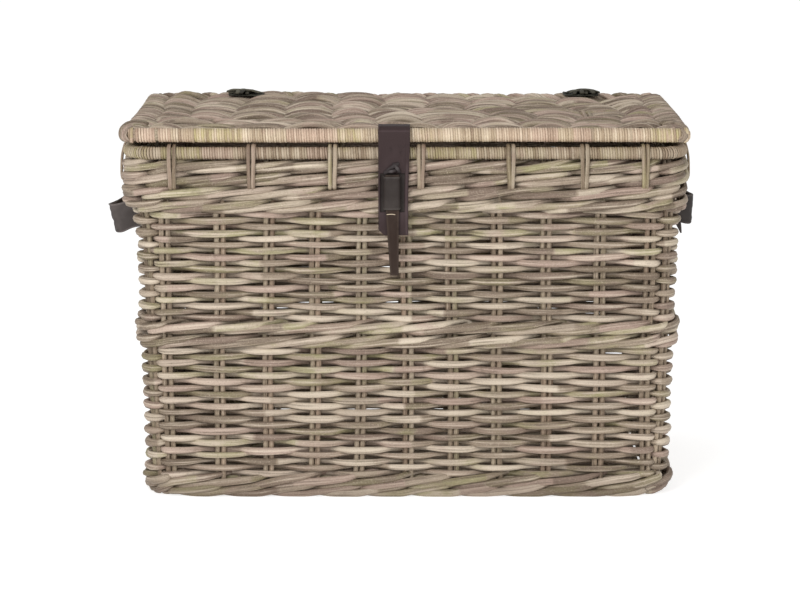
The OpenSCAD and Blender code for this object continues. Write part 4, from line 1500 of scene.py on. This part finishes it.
        # A thin pale thread just under the keeper: a painted highlight.
        x = np.linspace(-0.0268, -0.0148, 12)
        highlight_line = np.stack([x, np.full(12, y - 0.0024), 0.4250 + 0.0006 * np.cos((x + 0.0208) * 260.0)], -1)
        thin = np.full((1, 12), 0.00052)
        up = np.broadcast_to(np.array([0.0, -1.0, 0.0]), (1, 12, 3))
        tone = piece_tones(rng, 1, 12, pieces=2, spread=0.2, light=0.4)
        sweep(pile, highlight_line[None], up, thin, thin * 0.6, tone)
        make_object("peg_highlight_thread", pile, cane_material(), "peg", [])
        knot = once(leather, "knot_thong", (0.026, 0.020, 0.020), (0.105, 0.092, 0.092), 0.44)
        low, high = low_high("peg_knot")
        middle = (low + high) / 2.0
        pile = Pile()
        reach = (high[0] - low[0]) / 2.0 - 0.002
        tall = (high[2] - low[2]) / 2.0 - 0.001
        loops = ((0.85, 0.95, -0.10, 0.0), (0.40, -0.90, 0.50, 0.0), (0.75, 0.25, -0.20, -0.45))
        for index, (dx, dz, right, above) in enumerate(loops):
            dx, dz, right, above = dx * reach, dz * tall, right * reach, above * tall
            t = np.linspace(-1.0, 1.0, 9)
            lift = 0.0019 * index * (1.0 - t * t) - 0.0030 * t**4
            bend = 0.0016 * (1.0 - t * t) * (1.0 if index else -1.0)
            path = middle + np.stack([right + dx * t + bend, 0.0010 - lift, above + dz * t], -1)
            path = smooth_path(path, 24)[None]
            wide = np.full((1, 24), 0.0028 - 0.0004 * index)
            up = np.broadcast_to(np.array([0.0, -1.0, 0.0]), path.shape)
            t = np.linspace(-1.0, 1.0, 24)
            light = 0.75 * np.exp(-((t / 0.35) ** 2)) * (index > 0)
            tone = np.stack([0.0 * t + rng.random(), light, 0.0 * t], -1)[None]
            sweep(pile, path, up, wide, wide * 0.55, tone, sides=12, shape=0.7)
        make_object("peg_knot_thongs", pile, knot, "peg", ["peg_knot"])


class TRUNK_OT_handles(bpy.types.Operator):
    """Bends the two leather handles"""

    bl_idname = "trunk.handles"
    bl_label = "Handles"

    def execute(self, context):
        _, colours = settings()
        rng = np.random.default_rng(61)
        handles = {
            "left_handle": dict(sign=-1.0, reach=0.0380, axis=0.413, lean=0.235, fall=0.0100, lift=0.0093),
            "right_handle": dict(sign=1.0, reach=0.0255, axis=0.420, lean=0.060, fall=0.0055, lift=0.0120),
        }
        # The right handle is a darker copy of the same leather: painted shade.
        for name, shade in (("left_handle", 1.0), ("right_handle", 0.62)):
            base = tuple(c * shade for c in colours.handle)
            worn = tuple(c * 3.0 for c in base)
            material = once(leather, name + "_leather", base, worn, 0.50)
            self.handle(rng, material, name, **handles[name])
            if name == "right_handle":
                pile = Pile()
                points = [
                    (0.403, -0.067, 0.402), (0.409, -0.068, 0.391),
                    (0.4135, -0.069, 0.380), (0.4165, -0.070, 0.369),
                ]
                widths = [0.014, 0.012, 0.007, 0.002]
                strap(pile, rng, points, (1.0, 0.0, 0.3), widths, thick=0.0030, rows=24, sway=0.0002)
                make_object("right_handle_tail", pile, material, "trunk", [])
        return {"FINISHED"}

    def handle(self, rng, material, name, sign, reach, axis, lean, fall, lift):
        """A broad strap: a loop in plan that stands out most at its front end. Its upper edge leans outward,
        and it falls a little, the more the farther it is from the wall. axis is the height it swings about,
        and lift is how far its upper edge stands over that at the wall."""
        half = 0.0720
        out = reach - 0.002
        width = 0.0445
        root = -0.016
        points = np.array([
            (root, -half), (0.000, -half - 0.0004), (out * 0.35, -half), (out - 0.007, -half + 0.005),
            (out, -half + 0.016), (out * 0.86, -0.030), (out * 0.62, 0.006), (out * 0.36, 0.038),
            (out * 0.12, half - 0.010), (-0.005, half), (root, half + 0.002),
        ])
        flat = smooth_path(points, 96)
        angle = lean * smooth(0.0, out, flat[:, 0])
        drop = fall * smooth(-0.010, out, flat[:, 0])
        line = np.stack([
            sign * (0.410 + flat[:, 0] - np.sin(angle) * width / 2.0),
            flat[:, 1],
            axis + lift - drop - np.cos(angle) * width / 2.0,
        ], -1)
        across = np.stack([sign * np.sin(angle), 0.0 * angle, np.cos(angle)], -1) * sign
        pile = Pile()
        widths = [width * w for w in (0.92, 0.97, 1.0, 1.0, 0.98, 0.97, 0.98, 1.0, 1.0, 0.97, 0.92)]
        strap(pile, rng, line[::4], across, widths, thick=0.0040, rows=96, inner=9, sway=0.0006)
        start = (sign * 0.4075, 0.0, axis - 0.02)
        end = (sign * 0.4200, 0.0, axis - 0.02)
        make_object(name + "_strap", pile, material, ("trunk", name, start, end),
                    [name, name + "_anchors"])


class TRUNK_PT_panel(bpy.types.Panel):
    """Lists the pieces of the trunk and their sizes"""

    bl_idname = "TRUNK_PT_panel"
    bl_label = "Wicker trunk"
    bl_space_type = "VIEW_3D"
    bl_region_type = "UI"
    bl_category = "Trunk"

    def draw(self, context):
        column = self.layout.column()
        for group in (context.scene.trunk_weave, context.scene.trunk_colours):
            for name in group.__annotations__:
                column.prop(group, name)
        for piece in PIECES:
            column.operator(piece.bl_idname)


PIECES = (
    TRUNK_OT_stage,
    TRUNK_OT_stakes,
    TRUNK_OT_walls,
    TRUNK_OT_wales,
    TRUNK_OT_floor,
    TRUNK_OT_rim,
    TRUNK_OT_lid,
    TRUNK_OT_hinges,
    TRUNK_OT_hasp,
    TRUNK_OT_handles,
)
CLASSES = (TrunkWeave, TrunkColours) + PIECES + (TRUNK_PT_panel,)


def register():
    """Makes the settings, the operators and the panel known."""
    for cls in CLASSES:
        bpy.utils.register_class(cls)
    bpy.types.Scene.trunk_weave = bpy.props.PointerProperty(type=TrunkWeave)
    bpy.types.Scene.trunk_colours = bpy.props.PointerProperty(type=TrunkColours)


def unregister():
    """Takes them away again."""
    del bpy.types.Scene.trunk_colours
    del bpy.types.Scene.trunk_weave
    for cls in reversed(CLASSES):
        bpy.utils.unregister_class(cls)


def main():
    """Builds the trunk piece by piece."""
    register()
    bpy.ops.trunk.stage()
    bpy.ops.trunk.stakes()
    bpy.ops.trunk.walls()
    bpy.ops.trunk.wales()
    bpy.ops.trunk.floor()
    bpy.ops.trunk.rim()
    bpy.ops.trunk.lid()
    bpy.ops.trunk.hinges()
    bpy.ops.trunk.hasp()
    bpy.ops.trunk.handles()


if __name__ == "__main__":
    main()
